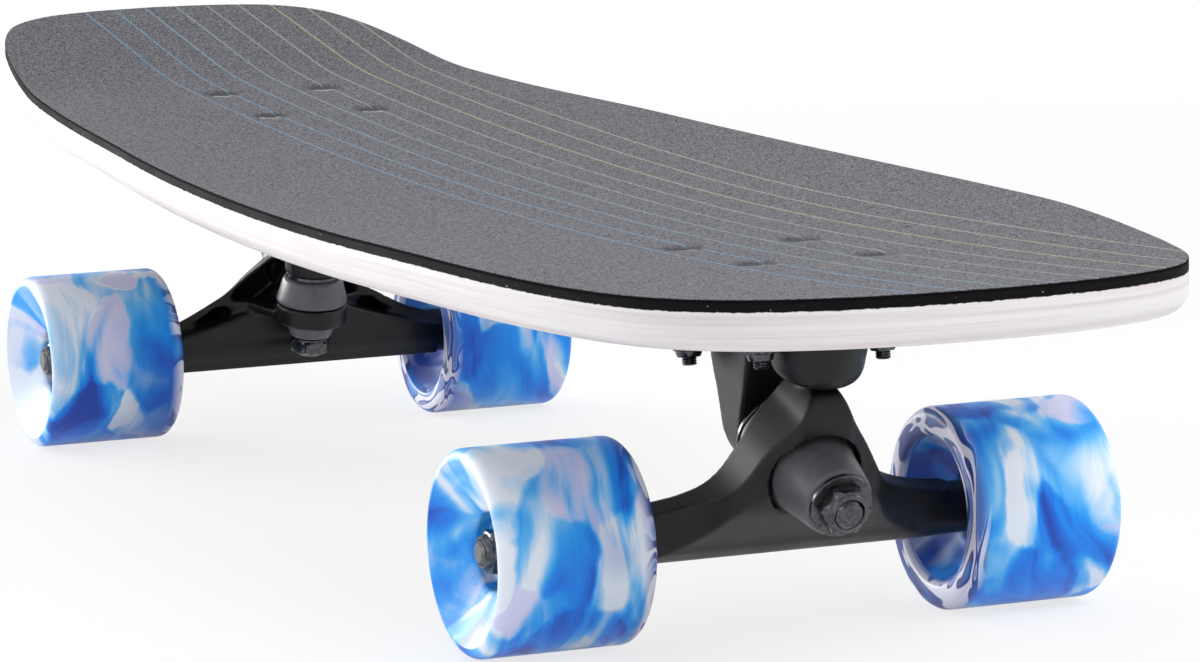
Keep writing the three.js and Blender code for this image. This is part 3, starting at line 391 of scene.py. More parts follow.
def _round_wheel(tree, given):
    """A place on a wheel, drawn so that patterns run round the tread and along the bowl."""
    axes = node(tree, "SeparateXYZ", {"Vector": given["Vector"]}).outputs
    front = maths(tree, "GREATER_THAN", axes["X"], 0.0)
    centre = mapped(tree, front, 0.0, 1.0, axle_x("rear"), axle_x("front"))
    ahead = maths(tree, "SUBTRACT", axes["X"], centre)
    up = maths(tree, "SUBTRACT", axes["Z"], WHEEL_RADIUS)
    squared = maths(tree, "MULTIPLY_ADD", up, up, maths(tree, "MULTIPLY", ahead, ahead))
    radius = maths(tree, "MAXIMUM", maths(tree, "SQRT", squared), SMALLEST_RADIUS)
    pattern = mapped(tree, radius, 0.0, WHEEL_RADIUS, HUB_PATTERN, TREAD_PATTERN)
    reach = maths(tree, "DIVIDE", pattern, radius)
    out = maths(tree, "ABSOLUTE", axes["Y"])
    bowl_end = INNER_FACE + BOWL_DEPTH
    truck_side = mapped(tree, out, bowl_end, bowl_end + 4 * MM, 1.0, 0.0)
    inside_lip = mapped(tree, radius, BOWL_LIP - 1 * MM, BOWL_LIP, 1.0, 0.0)
    in_bowl = maths(tree, "MULTIPLY", truck_side, inside_lip)
    across = maths(tree, "MULTIPLY", axes["Y"], mapped(tree, in_bowl, 0.0, 1.0, 1.0, 0.4))
    apart = maths(tree, "MULTIPLY_ADD", front, FRONT_SHIFT, maths(tree, "MULTIPLY", up, reach))
    round_it = node(tree, "CombineXYZ", {"X": maths(tree, "MULTIPLY", ahead, reach), "Y": across,
                                         "Z": apart}).outputs[0]
    off_side = maths(tree, "SUBTRACT", out, INNER_FACE)
    inner = mapped(tree, off_side, -1 * MM, 3 * MM, 1.0, 0.0)
    # On the flat face the pattern is drawn out round the ring, so its veins are arcs
    drawn = node(tree, "VectorMath", {0: round_it, 1: (ARC_DRAW, 0.0, ARC_DRAW)}, operation="MULTIPLY")
    outward = maths(tree, "MULTIPLY_ADD", radius, ARC_STEP, axes["Y"])
    lifted = node(tree, "CombineXYZ", {"X": 0.0, "Y": outward, "Z": 0.0}).outputs[0]
    ringed = node(tree, "VectorMath", {0: drawn.outputs[0], 1: lifted}, operation="ADD").outputs[0]
    return round_it, ringed, inner, in_bowl, off_side


round_wheel = effect("round_wheel", {"Vector": (0.0, 0.0, 0.0)},
                     {"Vector": "Vector", "Ringed": "Vector", "Truck Side": "Float", "Bowl": "Float",
                      "Off Truck Side": "Float"}, _round_wheel)


def make_urethane():
    """The wheels' finish: pours of urethane that tore and stirred as they met."""
    made, tree, shader = material("wheel_urethane", coat_weight=0.08, coat_roughness=0.25,
                                  specular_ior_level=0.4, subsurface_weight=0.1, subsurface_scale=0.006)
    place = node(tree, "TexCoord").outputs["Object"]
    wheel = placed(tree, round_wheel, Vector=place)
    flow = wheel["Vector"]
    soft = placed(tree, swirl, Vector=flow, Scale=24.0, Push=0.045, Detail=2.0, Curl=0.7)
    # Each pour keeps its own tone: it changes softly inside, and its edge is fairly sharp and ragged
    ragged = node(tree, "TexNoise", {"Vector": flow, "Scale": 70.0, "Detail": 3.0, "Roughness": 0.55})
    aside = node(tree, "VectorMath", {0: ragged.outputs["Color"], "Scale": 9 * MM}, operation="SCALE")
    torn = node(tree, "VectorMath", {0: soft["Stirred"], 1: aside.outputs[0]}, operation="ADD").outputs[0]
    pours = node(tree, "TexVoronoi", {"Vector": torn, "Scale": 53.0, "Smoothness": 0.25}, feature="SMOOTH_F1")
    tint = node(tree, "SeparateXYZ", {"Vector": pours.outputs["Color"]}).outputs
    own = mapped(tree, tint["X"], 0.1, 0.9, -0.11, 0.27)
    # Fine streaks are drawn out round the wheel
    drawn = node(tree, "VectorMath", {0: torn, 1: (0.6, 7.0, 0.6)}, operation="MULTIPLY").outputs[0]
    streaks = node(tree, "TexNoise", {"Vector": drawn, "Scale": 42.0, "Detail": 3.0}).outputs["Fac"]
    own = maths(tree, "ADD", own, mapped(tree, streaks, 0.3, 0.7, -0.04, 0.06))
    share = maths(tree, "ADD", mapped(tree, soft["Share"], 0.2, 0.8), own)
    blues = ramp(tree, share, URETHANE)
    rosy = maths(tree, "MULTIPLY", mapped(tree, tint["Y"], 0.6, 0.8, 0.0, 0.65),
                 mapped(tree, share, 0.5, 0.66))
    poured = blend(tree, rosy, blues, LAVENDER)
    # Deep blue lies along the truck side, and the bowl is darker still
    streak = mapped(tree, soft["Fold"], 0.42, 0.5, 0.9, 0.0, smooth=True)
    deep = maths(tree, "MULTIPLY", streak, mapped(tree, wheel["Off Truck Side"], 0.0, 0.022, 1.0, 0.1))
    crisp = placed(tree, swirl, Vector=flow, Scale=46.0, Push=0.03, Detail=0.8, Curl=1.2)["Share"]
    in_bowl = maths(tree, "MULTIPLY", wheel["Bowl"], mapped(tree, crisp, 0.4, 0.62, 0.95, 0.25))
    colours = blend(tree, maths(tree, "MAXIMUM", deep, in_bowl), poured, DEEP)
    arcs = placed(tree, swirl, Vector=wheel["Ringed"], Scale=46.0, Push=0.03, Detail=0.8, Curl=1.2)["Share"]
    veins = ramp(tree, arcs, CRISP)
    on_face = maths(tree, "MULTIPLY", wheel["Truck Side"], maths(tree, "SUBTRACT", 1.0, wheel["Bowl"]))
    tree.links.new(blend(tree, on_face, colours, veins), shader.inputs["Base Color"])
    tree.links.new(placed(tree, rub, Vector=place, Scale=45.0, Smooth=0.38, Rough=0.48)["Roughness"],
                   shader.inputs["Roughness"])
    return made


def make_plain(name, colour, light, scale, smooth, rough, relief, sockets):
    """A finish of two near colours in a fine grain, with uneven polish and a slight relief."""
    made, tree, shader = material(name, **sockets)
    place = node(tree, "TexCoord").outputs["Object"]
    fine = placed(tree, grain, Vector=place, Scale=scale)
    tree.links.new(blend(tree, fine["Mask"], colour, light), shader.inputs["Base Color"])
    tree.links.new(placed(tree, rub, Vector=place, Scale=70.0, Smooth=smooth, Rough=rough)["Roughness"],
                   shader.inputs["Roughness"])
    bumped(tree, shader, fine["Height"], relief, 0.0002)
    return made


# Two near colours, the grain's scale, the least and most roughness, the relief, and the shader's own values
PLAIN_FINISHES = {
    "cast_metal": ((0.004, 0.004, 0.005), (0.007, 0.007, 0.008), 1100.0, 0.36, 0.46, 0.1,
                   {"specular_ior_level": 0.33}),
    "bushing_urethane": ((0.095, 0.093, 0.105), (0.12, 0.118, 0.13), 300.0, 0.38, 0.5, 0.05, {}),
    "riser_plastic": ((0.01, 0.01, 0.011), (0.02, 0.02, 0.021), 800.0, 0.5, 0.65, 0.2, {}),
    "cup_plastic": ((0.04, 0.04, 0.045), (0.055, 0.055, 0.06), 500.0, 0.5, 0.6, 0.1, {}),
    "dark_steel": ((0.055, 0.055, 0.06), (0.12, 0.12, 0.13), 700.0, 0.16, 0.3, 0.12, {"metallic": 0.9}),
    "bearing_steel": ((0.03, 0.03, 0.035), (0.06, 0.06, 0.065), 600.0, 0.3, 0.45, 0.1, {"metallic": 0.5}),
    "axle_steel": ((0.1, 0.1, 0.11), (0.17, 0.17, 0.18), 900.0, 0.28, 0.42, 0.1, {"metallic": 0.9}),
}
FINISHES = {
    "grip_tape": make_griptape(),
    "deck_wood": make_deck_finish(),
    "wheel_urethane": make_urethane(),
    **{name: make_plain(name, *values) for name, values in PLAIN_FINISHES.items()},
}


# Mesh helpers

SMOOTH_BELOW = math.radians(38)


def standing_in(name, mesh, slot, node_name):
    """A mesh made into a piece that stands for a CAD node and has its finish, not yet on a body."""
    mesh.name = name
    piece = bpy.data.objects.new(name, mesh)
    SCENE.collection.objects.link(piece)
    mesh.shade_smooth()
    mesh.set_sharp_from_angle(angle=SMOOTH_BELOW)
    mesh.materials.clear()
    mesh.materials.append(FINISHES[slot])
    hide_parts(node_name)
    return piece


def finished(name, mesh, slot, node_name):
    """A piece that stands for a CAD node, rides on its body and has its finish."""
    piece = standing_in(name, mesh, slot, node_name)
    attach(piece, NODES[node_name]["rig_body"])


def mesh_of(vertices, faces, place=None):
    """A mesh from points and faces, carried to its place and wound outward."""
    mesh = bpy.data.meshes.new("piece")
    mesh.from_pydata([tuple(v) for v in vertices], [], faces)
    if place is not None:
        mesh.transform(place)
    mesh.validate()
    signed = 0.0
    mesh.calc_loop_triangles()
    for triangle in mesh.loop_triangles:
        a, b, c = (mesh.vertices[i].co for i in triangle.vertices)
        signed += a.dot(b.cross(c))
    if signed < 0:
        mesh.flip_normals()
    mesh.update()
    return mesh


def rounded(profile, radius, steps=3):
    """A profile whose inner corners are rounded off."""
    points = [Vector(p) for p in profile]
    made = [points[0]]
    for before, corner, after in zip(points, points[1:], points[2:]):
        to_before, to_after = before - corner, after - corner
        reach = min(radius, to_before.length * 0.45, to_after.length * 0.45)
        start = corner + to_before.normalized() * reach
        end = corner + to_after.normalized() * reach
        for i in range(steps + 1):
            t = i / steps
            made.append(start * (1 - t) ** 2 + corner * 2 * t * (1 - t) + end * t ** 2)
    made.append(points[-1])
    return made


def turned(profile, place, sides=96, radius_at=None):
    """A profile of (radius, height) turned about the place's Z axis. radius_at may reshape a radius."""
    vertices, rows = [], []
    closed = (Vector(profile[0]) - Vector(profile[-1])).length < 1e-6
    for radius, height in (profile[:-1] if closed else profile):
        if radius < 1e-6:
            rows.append([len(vertices)] * sides)
            vertices.append((0, 0, height))
            continue
        rows.append(list(range(len(vertices), len(vertices) + sides)))
        for i in range(sides):
            angle = math.tau * i / sides
            r = radius_at(radius, height, angle) if radius_at else radius
            vertices.append((r * math.cos(angle), r * math.sin(angle), height))
    if closed:
        rows.append(rows[0])
    faces = []
    for low, high in zip(rows, rows[1:]):
        for i in range(sides):
            j = (i + 1) % sides
            corners = [low[i], low[j], high[j], high[i]]
            face = [c for k, c in enumerate(corners) if c not in corners[:k]]
            if len(face) > 2:
                faces.append(face)
    return mesh_of(vertices, faces, place)


def seat_of(name, axis):
    """A CAD node's frame along an axis, from the middle of its low end, with its radius and its length."""
    up = Vector(axis).normalized()
    across = Vector((0, 1, 0)) if abs(up.y) < 0.9 else Vector((1, 0, 0))
    side = across.cross(up).normalized()
    turn = Matrix((side, up.cross(side), up)).transposed().to_4x4()
    back = turn.inverted()
    corners = [back @ v.co for v in NODES[name].data.vertices]
    low = Vector([min(c[i] for c in corners) for i in range(3)])
    high = Vector([max(c[i] for c in corners) for i in range(3)])
    middle = (low + high) / 2
    radius = max(math.hypot(c.x - middle.x, c.y - middle.y) for c in corners)
    place = turn @ Matrix.Translation((middle.x, middle.y, low.z)) @ Matrix.Scale(MM, 4)
    return place, radius / MM, (high.z - low.z) / MM


def evaluated(piece):
    """A piece's mesh with its modifiers applied. The piece itself is removed."""
    bpy.context.view_layer.update()
    mesh = bpy.data.meshes.new_from_object(piece.evaluated_get(bpy.context.evaluated_depsgraph_get()))
    bpy.data.objects.remove(piece)
    return mesh


def worked(mesh, tools=(), operation="DIFFERENCE"):
    """A mesh joined with, cut by or kept inside other meshes."""
    pieces = [bpy.data.objects.new("work", m) for m in (mesh, *tools)]
    for piece in pieces:
        SCENE.collection.objects.link(piece)
    for tool in pieces[1:]:
        modifier = pieces[0].modifiers.new("work", "BOOLEAN")
        modifier.operation = operation
        modifier.solver = "MANIFOLD"
        modifier.object = tool
    made = evaluated(pieces[0])
    for tool in pieces[1:]:
        bpy.data.objects.remove(tool)
    return made


def cast(mesh, voxel, softening):
    """A casting's skin: every edge softened alike."""
    piece = bpy.data.objects.new("casting", mesh)
    SCENE.collection.objects.link(piece)
    remesh = piece.modifiers.new("remesh", "REMESH")
    remesh.mode = "VOXEL"
    remesh.voxel_size = voxel * MM
    soften = piece.modifiers.new("soften", "SMOOTH")
    soften.factor = 0.5
    soften.iterations = softening
    return evaluated(piece)


def slab(points, low, high, place):
    """A flat outline in the place's X and Y, from low to high along its Z."""
    count = len(points)
    vertices = [(x, y, z) for z in (low, high) for x, y in points]
    faces = [list(range(count - 1, -1, -1)), list(range(count, 2 * count))]
    faces += [[i, (i + 1) % count, count + (i + 1) % count, count + i] for i in range(count)]
    return mesh_of(vertices, faces, place)


def smooth_line(points, steps=6):
    """A curve through points, with Catmull-Rom tangents."""
    points = [Vector(p) for p in points]
    ends = [2 * points[0] - points[1], *points, 2 * points[-1] - points[-2]]
    made = []
    for a, b, c, d in zip(ends, ends[1:], ends[2:], ends[3:]):
        for i in range(steps):
            t = i / steps
            made.append(0.5 * (2 * b + (c - a) * t + (2 * a - 5 * b + 4 * c - d) * t ** 2
                               + (3 * b - a - 3 * c + d) * t ** 3))
    made.append(points[-1])
    return made


def mirrored(half):
    """Half an outline and its mirror image across the place's Y axis."""
    other = [Vector((-p[0], p[1])) for p in reversed(half) if p[0] > 1e-6]
    return [Vector((p[0], p[1])) for p in half] + other


def rounded_rectangle(length, width, radius, steps=8):
    """A flat rounded rectangle's outline."""
    made = []
    for sx, sy, start in ((1, -1, -0.5), (1, 1, 0.0), (-1, 1, 0.5), (-1, -1, 1.0)):
        centre = Vector((sx * (length / 2 - radius), sy * (width / 2 - radius)))
        for i in range(steps + 1):
            angle = math.pi * (start + 0.5 * i / steps)
            made.append(centre + radius * Vector((math.cos(angle), math.sin(angle))))
    return made


# The board's shape: rocker, kicked tail and concave, as in the frame

DECK_LENGTH = 758
DECK_WIDTH = 233
DECK_THICKNESS = 14.5
ROCKER_RADIUS = 4650
FLAT_HALF_WIDTH = 31
CONCAVE_RISE = 6.2
KICK_LENGTH = 126
KICK_BLEND = 35
KICK_ANGLE = math.radians(10.2)
LOWEST_X = 100.38
LOWEST_Z = 116.339
GRIP_THICKNESS = 1
SEAT = 0.1  # between rigid pieces that bear on each other
RIM_ROUND = 6

OUTLINE_SHARES = [
    (-0.5, 0), (-0.4975, 0.25), (-0.491, 0.43), (-0.477, 0.56), (-0.45, 0.648), (-0.41, 0.71),
    (-0.35, 0.765), (-0.27, 0.823), (-0.18, 0.882), (-0.09, 0.934), (0, 0.972), (0.09, 0.996),
    (0.17, 1), (0.24, 0.985), (0.3, 0.953), (0.355, 0.9), (0.4, 0.836), (0.438, 0.75),
    (0.468, 0.61), (0.488, 0.41), (0.497, 0.21), (0.5, 0),
]


def smoothstep(value, low, high):
    """From 0 at low to 1 at high, level at both ends."""
    t = min(max((value - low) / (high - low), 0), 1)
    return t * t * (3 - 2 * t)


def centre_height(x):
    """Height of the deck's top along its centre line."""
    kick_x = KICK_LENGTH - DECK_LENGTH / 2
    arc = LOWEST_Z + (max(x, kick_x) - LOWEST_X) ** 2 / (2 * ROCKER_RADIUS)
    if x > kick_x:
        return arc
    past = kick_x - x
    before = (LOWEST_X - kick_x) / ROCKER_RADIUS
    after = math.tan(KICK_ANGLE)
    bent = min(past, KICK_BLEND)
    return arc + before * bent + (after - before) * bent ** 2 / (2 * KICK_BLEND) + after * (past - bent)


def deck_height(x, y):
    """Height of the deck's top, with the concave that runs between the kick and the nose."""
    share = x / DECK_LENGTH
    dish = smoothstep(share, -0.385, -0.13) * (1 - smoothstep(share, 0.24, 0.5))
    beyond = max(0, abs(y) - FLAT_HALF_WIDTH) / (DECK_WIDTH / 2 - FLAT_HALF_WIDTH)
    return centre_height(x) + CONCAVE_RISE * dish * beyond ** 2


def centripetal(points, count):
    """A centripetal Catmull-Rom curve, evenly stepped in its own parameter."""
    points = [Vector(p) for p in points]
    ends = [2 * points[0] - points[1], *points, 2 * points[-1] - points[-2]]
    made = []
    for a, b, c, d in zip(ends, ends[1:], ends[2:], ends[3:]):
        knots = [0]
        for p, q in ((a, b), (b, c), (c, d)):
            knots.append(knots[-1] + math.sqrt((q - p).length))
        t0, t1, t2, t3 = knots
        for i in range(count):
            t = t1 + (t2 - t1) * i / count
            ab = a * ((t1 - t) / (t1 - t0)) + b * ((t - t0) / (t1 - t0))
            bc = b * ((t2 - t) / (t2 - t1)) + c * ((t - t1) / (t2 - t1))
            cd = c * ((t3 - t) / (t3 - t2)) + d * ((t - t2) / (t3 - t2))
            abc = ab * ((t2 - t) / (t2 - t0)) + bc * ((t - t0) / (t2 - t0))
            bcd = bc * ((t3 - t) / (t3 - t1)) + cd * ((t - t1) / (t3 - t1))
            made.append(abc * ((t2 - t) / (t2 - t1)) + bcd * ((t - t1) / (t2 - t1)))
    made.append(points[-1])
    return made


OUTLINE = centripetal([(x * DECK_LENGTH, y * DECK_WIDTH / 2) for x, y in OUTLINE_SHARES], 14)


def stations(spots, reach, fine, coarse):
    """The outline's points with others between: fine steps within reach of a spot, coarse ones elsewhere."""
    made = [OUTLINE[0]]
    for before, after in zip(OUTLINE, OUTLINE[1:]):
        near = any(before.x - reach < spot < after.x + reach for spot in spots)
        step = fine if near else coarse
        count = max(1, math.ceil((after - before).length / step))
        made += [before.lerp(after, (i + 1) / count) for i in range(count)]
    return made


def board_sheet(line, columns, rim, lift, drop_at=None):
    """A board-shaped sheet, its outline inset and dropped by each rim layer.

    columns gives the places across a station, from its half width. drop_at(x, y) sinks the top. The sheet
    comes with each point's depth below the top, and how far it is pressed down.
    """
    last = len(line) - 1
    tangents = [(line[min(i + 1, last)] - line[max(i - 1, 0)]).normalized() for i in range(len(line))]
    inward = [Vector((t.y, -t.x)) for t in tangents]
    inward[0], inward[-1] = Vector((1, 0)), Vector((-1, 0))
    vertices, depths, presses, faces = [], [], [], []

    def lay(x, y, drop):
        sink = drop_at(x, y) if drop_at else 0
        vertices.append((x * MM, y * MM, (deck_height(x, y) + lift - drop - sink) * MM))
        depths.append(drop * MM)
        presses.append(sink / DIMPLE_DEPTH)
        return len(vertices) - 1

    def row(i, inset, drop):
        point = line[i] + inward[i] * inset
        return [lay(point.x, y, drop) for y in columns(max(point.y, 0.01))]

    top = [row(i, *rim[0]) for i in range(len(line))]
    bottom = [row(i, *rim[-1]) for i in range(len(line))]
    for i in range(last):
        for k in range(len(top[0]) - 1):
            faces.append((top[i][k], top[i + 1][k], top[i + 1][k + 1], top[i][k + 1]))
            faces.append((bottom[i][k], bottom[i][k + 1], bottom[i + 1][k + 1], bottom[i + 1][k]))
    for side, edge in ((-1, 0), (1, -1)):
        rings = [[top[i][edge] for i in range(len(line))]]
        for inset, drop in rim[1:-1]:
            rings.append([])
            for i, point in enumerate(line):
                at = point + inward[i] * inset
                rings[-1].append(lay(at.x, side * max(at.y, 0.01), drop))
        rings.append([bottom[i][edge] for i in range(len(line))])
        for upper, lower in zip(rings, rings[1:]):
            for i in range(last):
                face = (upper[i], lower[i], lower[i + 1], upper[i + 1])
                faces.append(face if side < 0 else face[::-1])
    for end in (0, last):
        rows = [top[end]]
        for inset, drop in rim[1:-1]:
            at = line[end] + inward[end] * inset
            rows.append([lay(at.x, y, drop) for y in columns(max(at.y, 0.01))])
        rows.append(bottom[end])
        for upper, lower in zip(rows, rows[1:]):
            for k in range(len(upper) - 1):
                faces.append((upper[k], upper[k + 1], lower[k + 1], lower[k]))
    return vertices, faces, {"depth": depths, "pressed": presses}


def welded(vertices, faces, values):
    """A mesh with its doubled points joined, which keeps the named values of its points."""
    mesh = mesh_of(vertices, faces)
    for name, numbers in values.items():
        layer = mesh.attributes.new(name, "FLOAT", "POINT")
        layer.data.foreach_set("value", numbers)
    piece = bpy.data.objects.new("work", mesh)
    SCENE.collection.objects.link(piece)
    weld = piece.modifiers.new("weld", "WELD")
    weld.merge_threshold = 0.05 * MM
    return evaluated(piece)


HEAD_TOP = 1.5  # how far down a bolt's head its points are averaged


def bolt_places():
    """Where each deck bolt's head meets the deck, in millimetres."""
    made = []
    for name in NODES:
        if "_deck_bolt_" in name:
            high = max((v.co for v in NODES[name].data.vertices), key=lambda co: co.z)
            heads = [v.co for v in NODES[name].data.vertices if v.co.z > high.z - HEAD_TOP * MM]
            middle = sum(heads, Vector()) / len(heads)
            made.append((middle.x / MM, middle.y / MM))
    return made


BOLTS = bolt_places()
DIMPLE_RADIUS = 9.5
DIMPLE_DEPTH = 1.0
HEAD_RADIUS = 5.2


def dimple(x, y):
    """How far the griptape is pressed down round the bolts."""
    sink = 0
    for bolt_x, bolt_y in BOLTS:
        off = math.hypot(x - bolt_x, y - bolt_y)
        if off < DIMPLE_RADIUS:
            sink += DIMPLE_DEPTH * (1 - smoothstep(off, HEAD_RADIUS * 0.55, DIMPLE_RADIUS))
    return sink


# Places across one half of the griptape, close together where the bolts are
BOLT_COLUMNS = [4, 8, *range(12, 31)]
ROOM_FOR_BOLTS = 40  # the columns draw in where the half width is less
OUTER_COLUMNS = 14


def grip_columns(half):
    """Places across the griptape: the bolts' columns, then even ones out to its edge."""
    scale = min(1, half / ROOM_FOR_BOLTS)
    inner = [v * scale for v in BOLT_COLUMNS]
    last = inner[-1]
    outer = [last + (half - last) * (i + 1) / OUTER_COLUMNS for i in range(OUTER_COLUMNS)]
    right = inner + outer
    return [-v for v in reversed(right)] + [0] + right


def deck_columns(half):
    """Even places across the deck."""
    return [half * i / 12 for i in range(-12, 13)]


def build_board():
    """The griptape, pressed down round the bolts, and the deck with its rounded lower edge."""
    grip_line = stations([x for x, _ in BOLTS], 11, 1.0, 5.0)
    grip_rim = [(0.25, 0), (0, 0.3), (0, GRIP_THICKNESS)]
    sheet = board_sheet(grip_line, grip_columns, grip_rim, GRIP_THICKNESS + SEAT, dimple)
    finished("grip_sheet", welded(*sheet), "grip_tape", "griptape")
    steps = 8
    rim = [(0, 0), (0, 1.2), (0, 2.4), (0, 5), (0, DECK_THICKNESS - RIM_ROUND)]
    for i in range(1, steps + 1):
        angle = math.pi / 2 * i / steps
        rim.append((RIM_ROUND * (1 - math.cos(angle)), DECK_THICKNESS - RIM_ROUND * (1 - math.sin(angle))))
    line = stations([], 0, 6.0, 6.0)
    finished("laminated_deck", welded(*board_sheet(line, deck_columns, rim, 0)), "deck_wood", "deck")


build_board()


# Trucks: the axes that the frame's joints give

def frame_at(origin, across, up):
    """A frame in millimetres whose Z axis is across x up."""
    across, up = Vector(across), Vector(up)
    turn = Matrix((across, up, across.cross(up))).transposed().to_4x4()
    return Matrix.Translation(origin) @ turn @ Matrix.Scale(MM, 4)


ACROSS = Vector((0, 1, 0))
front_joint = JOINTS["front_steer"]
rear_joint = JOINTS["rear_steer"]
FRONT_UP = Vector(front_joint["axis"]).normalized()
FRONT_OUT = ACROSS.cross(FRONT_UP)
FRONT = frame_at(front_joint["pos_m"], ACROSS, FRONT_UP)
REAR_LEAN = math.radians(11)  # the rear kingpin's, from the vertical
REAR_FORWARD = Vector((math.cos(REAR_LEAN), 0, -math.sin(REAR_LEAN)))
REAR = frame_at(rear_joint["pos_m"], ACROSS, REAR_FORWARD)
REAR_DOWN = ACROSS.cross(REAR_FORWARD)
REAR_STEER_UP = Vector(rear_joint["axis"]).normalized()


def about(frame_matrix, columns):
    """A frame turned so that its X, Y and Z run along the given columns of another."""
    return frame_matrix @ Matrix([Vector(c) for c in columns]).transposed().to_4x4()


# Turned pieces

SHARP_EDGE = 0.25
KINGPIN_HOLE = 4.9
BUSHING_BORE = 5.05
BEND_STEP = 1.4
NEAR = 1e-3


def stepped(profile, longest):
    """A profile with points added so that no side is longer than asked."""
    made = [profile[0]]
    for before, after in zip(profile, profile[1:]):
        before, after = Vector(before), Vector(after)
        steps = max(1, math.ceil((after - before).length / longest))
        made += [before.lerp(after, (i + 1) / steps) for i in range(steps)]
    return made


def bushing(truck, side, axis, small_share, end_round):
    """A bushing, wide end first, with its bore.
    """
    node_name = f"{truck}_bushing_{side}"
    place, radius, length = seat_of(node_name, axis)
    corners = [(BUSHING_BORE, 0), (radius, 0), (radius * small_share, length), (BUSHING_BORE, length)]
    body = rounded(corners, end_round, 6)
    mesh = turned(stepped([*body, body[0]], BEND_STEP), place)
    piece = standing_in(f"{truck}_{side}_bushing", mesh, "bushing_urethane", node_name)
    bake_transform(piece)


def ring(name, node_name, axis, bore, edge=SHARP_EDGE, slot="dark_steel"):
    """A flat ring with slightly bevelled edges."""
    place, radius, length = seat_of(node_name, axis)
    profile = [(bore, 0), (radius - edge, 0), (radius, edge), (radius, length - edge),
               (radius - edge, length), (bore, length), (bore, 0)]
    finished(name, turned(profile, place), slot, node_name)


def hex_nut(name, node_name, axis, bore, collar_share=0.28):
    """A lock nut: a chamfered hexagon with a domed collar at its far end."""
    place, corner_radius, length = seat_of(node_name, axis)
    flat = corner_radius * math.cos(math.pi / 6)
    collar = length * collar_share
    hexagon = length - collar

    def shape(radius, _height, angle):
        wrapped = (angle + math.pi / 6) % (math.pi / 3) - math.pi / 6
        return min(radius, flat / math.cos(wrapped))

    chamfer = (corner_radius - flat) * math.tan(math.radians(30))
    profile = [(bore, 0), (flat, 0), (corner_radius, chamfer), (corner_radius, hexagon - chamfer),
               (flat * 1.01, hexagon), (flat * 0.9, hexagon + collar * 0.1),
               (flat * 0.86, hexagon + collar * 0.65), (flat * 0.76, length), (bore + 0.15, length),
               (bore, length - 0.15), (bore, 0)]
    finished(name, turned(profile, place, 96, shape), "dark_steel", node_name)


def threaded(radius, pitch, depth, has_thread):
    """For turned(): a radius that rises and falls along a screw thread where has_thread(height) is true."""
    def shape(given, height, angle):
        if given <= radius - NEAR or not has_thread(height):
            return given
        phase = (height / pitch - angle / math.tau) % 1
        return given - depth * abs(2 * phase - 1)
    return shape


def thread_profile(radius, low, high, pitch):
    """Points along a thread, eight to a turn."""
    steps = max(2, round((high - low) / pitch * 8))
    return [(radius, low + (high - low) * i / steps) for i in range(steps + 1)]


def build_stack(truck, out):
    """The washers and the nut on a kingpin. out runs along it to its nut."""
    ring(f"{truck}_board_washer", f"{truck}_washer_board", out, KINGPIN_HOLE)
    ring(f"{truck}_road_washer", f"{truck}_washer_road", out, KINGPIN_HOLE)
    hex_nut(f"{truck}_lock_nut", f"{truck}_kingpin_nut", out, KINGPIN_HOLE, 0.18)


def kingpin(name, node_name, axis):
    """Kingpin: a round head, a plain shank and a threaded end."""
    place, head, length = seat_of(node_name, axis)
    shank = 4.75
    pitch = 1.4
    start = length - 9
    profile = [(0, 0), (head - 0.6, 0), (head, 0.6), (head, 4.5), (shank, 5), (shank, start),
               *thread_profile(shank, start + 0.01, length - 0.8, pitch), (shank * 0.8, length),
               (shank * 0.5, length - 0.01), (0, length - 0.3)]
    shape = threaded(shank, pitch, 0.55, lambda height: height > start)
    finished(name, turned(profile, place, 64, shape), "dark_steel", node_name)


def deck_bolt(name, node_name, axis):
    """Deck bolt: a countersunk head with a round recess, and a threaded end."""
    place, head, length = seat_of(node_name, axis)
    stem = 2.45
    pitch = 0.8
    thread = length - 8
    profile = [(0, 0), (stem * 0.7, 0), *thread_profile(stem, 0.4, thread, pitch), (stem, length - 2.9),
               (head, length - 0.45), (head - 0.15, length - 0.1), (2.6, length), (1.6, length - 1.0),
               (0, length - 1.2)]
    shape = threaded(stem, pitch, 0.32, lambda height: height < thread)
    finished(name, turned(profile, place, 48, shape), "dark_steel", node_name)


FRONT_PLATE_TILT = math.radians(6.3)
PLATE_UP = {
    "front": Vector((-math.sin(FRONT_PLATE_TILT), 0, math.cos(FRONT_PLATE_TILT))),
    "rear": Vector((0, 0, 1)),
}


def build_fasteners():
    """The kingpins, and the bolts and nuts that hold the trucks to the deck."""
    kingpin("front_kingpin_rod", "front_kingpin", FRONT_OUT)
    kingpin("rear_kingpin_rod", "rear_kingpin", REAR_DOWN)
    for truck, up in PLATE_UP.items():
        for i in range(1, 5):
            deck_bolt(f"{truck}_bolt_{i}", f"{truck}_deck_bolt_{i}", up)
            hex_nut(f"{truck}_nut_{i}", f"{truck}_deck_nut_{i}", -up, 2.6, 0.34)


bushing("front", "board", FRONT_OUT, 0.94, 1.6)
bushing("front", "road", FRONT_OUT, 11.2 / 14.2, 1.8)
build_stack("front", FRONT_OUT)
bushing("rear", "board", -REAR_DOWN, 11.2 / 13.9, 1.8)
bushing("rear", "road", REAR_DOWN, 7.8 / 9.5, 0.6)
build_stack("rear", REAR_DOWN)
build_fasteners()


# Wheels, bearings and axles

HUB_HALF = 12
WHEEL_EDGE = 3.5
BEARING_SEAT = 11.15
BEARING_WIDTH = 7
NUT_RECESS = 12.4
AXLE_HOLE = 4.05


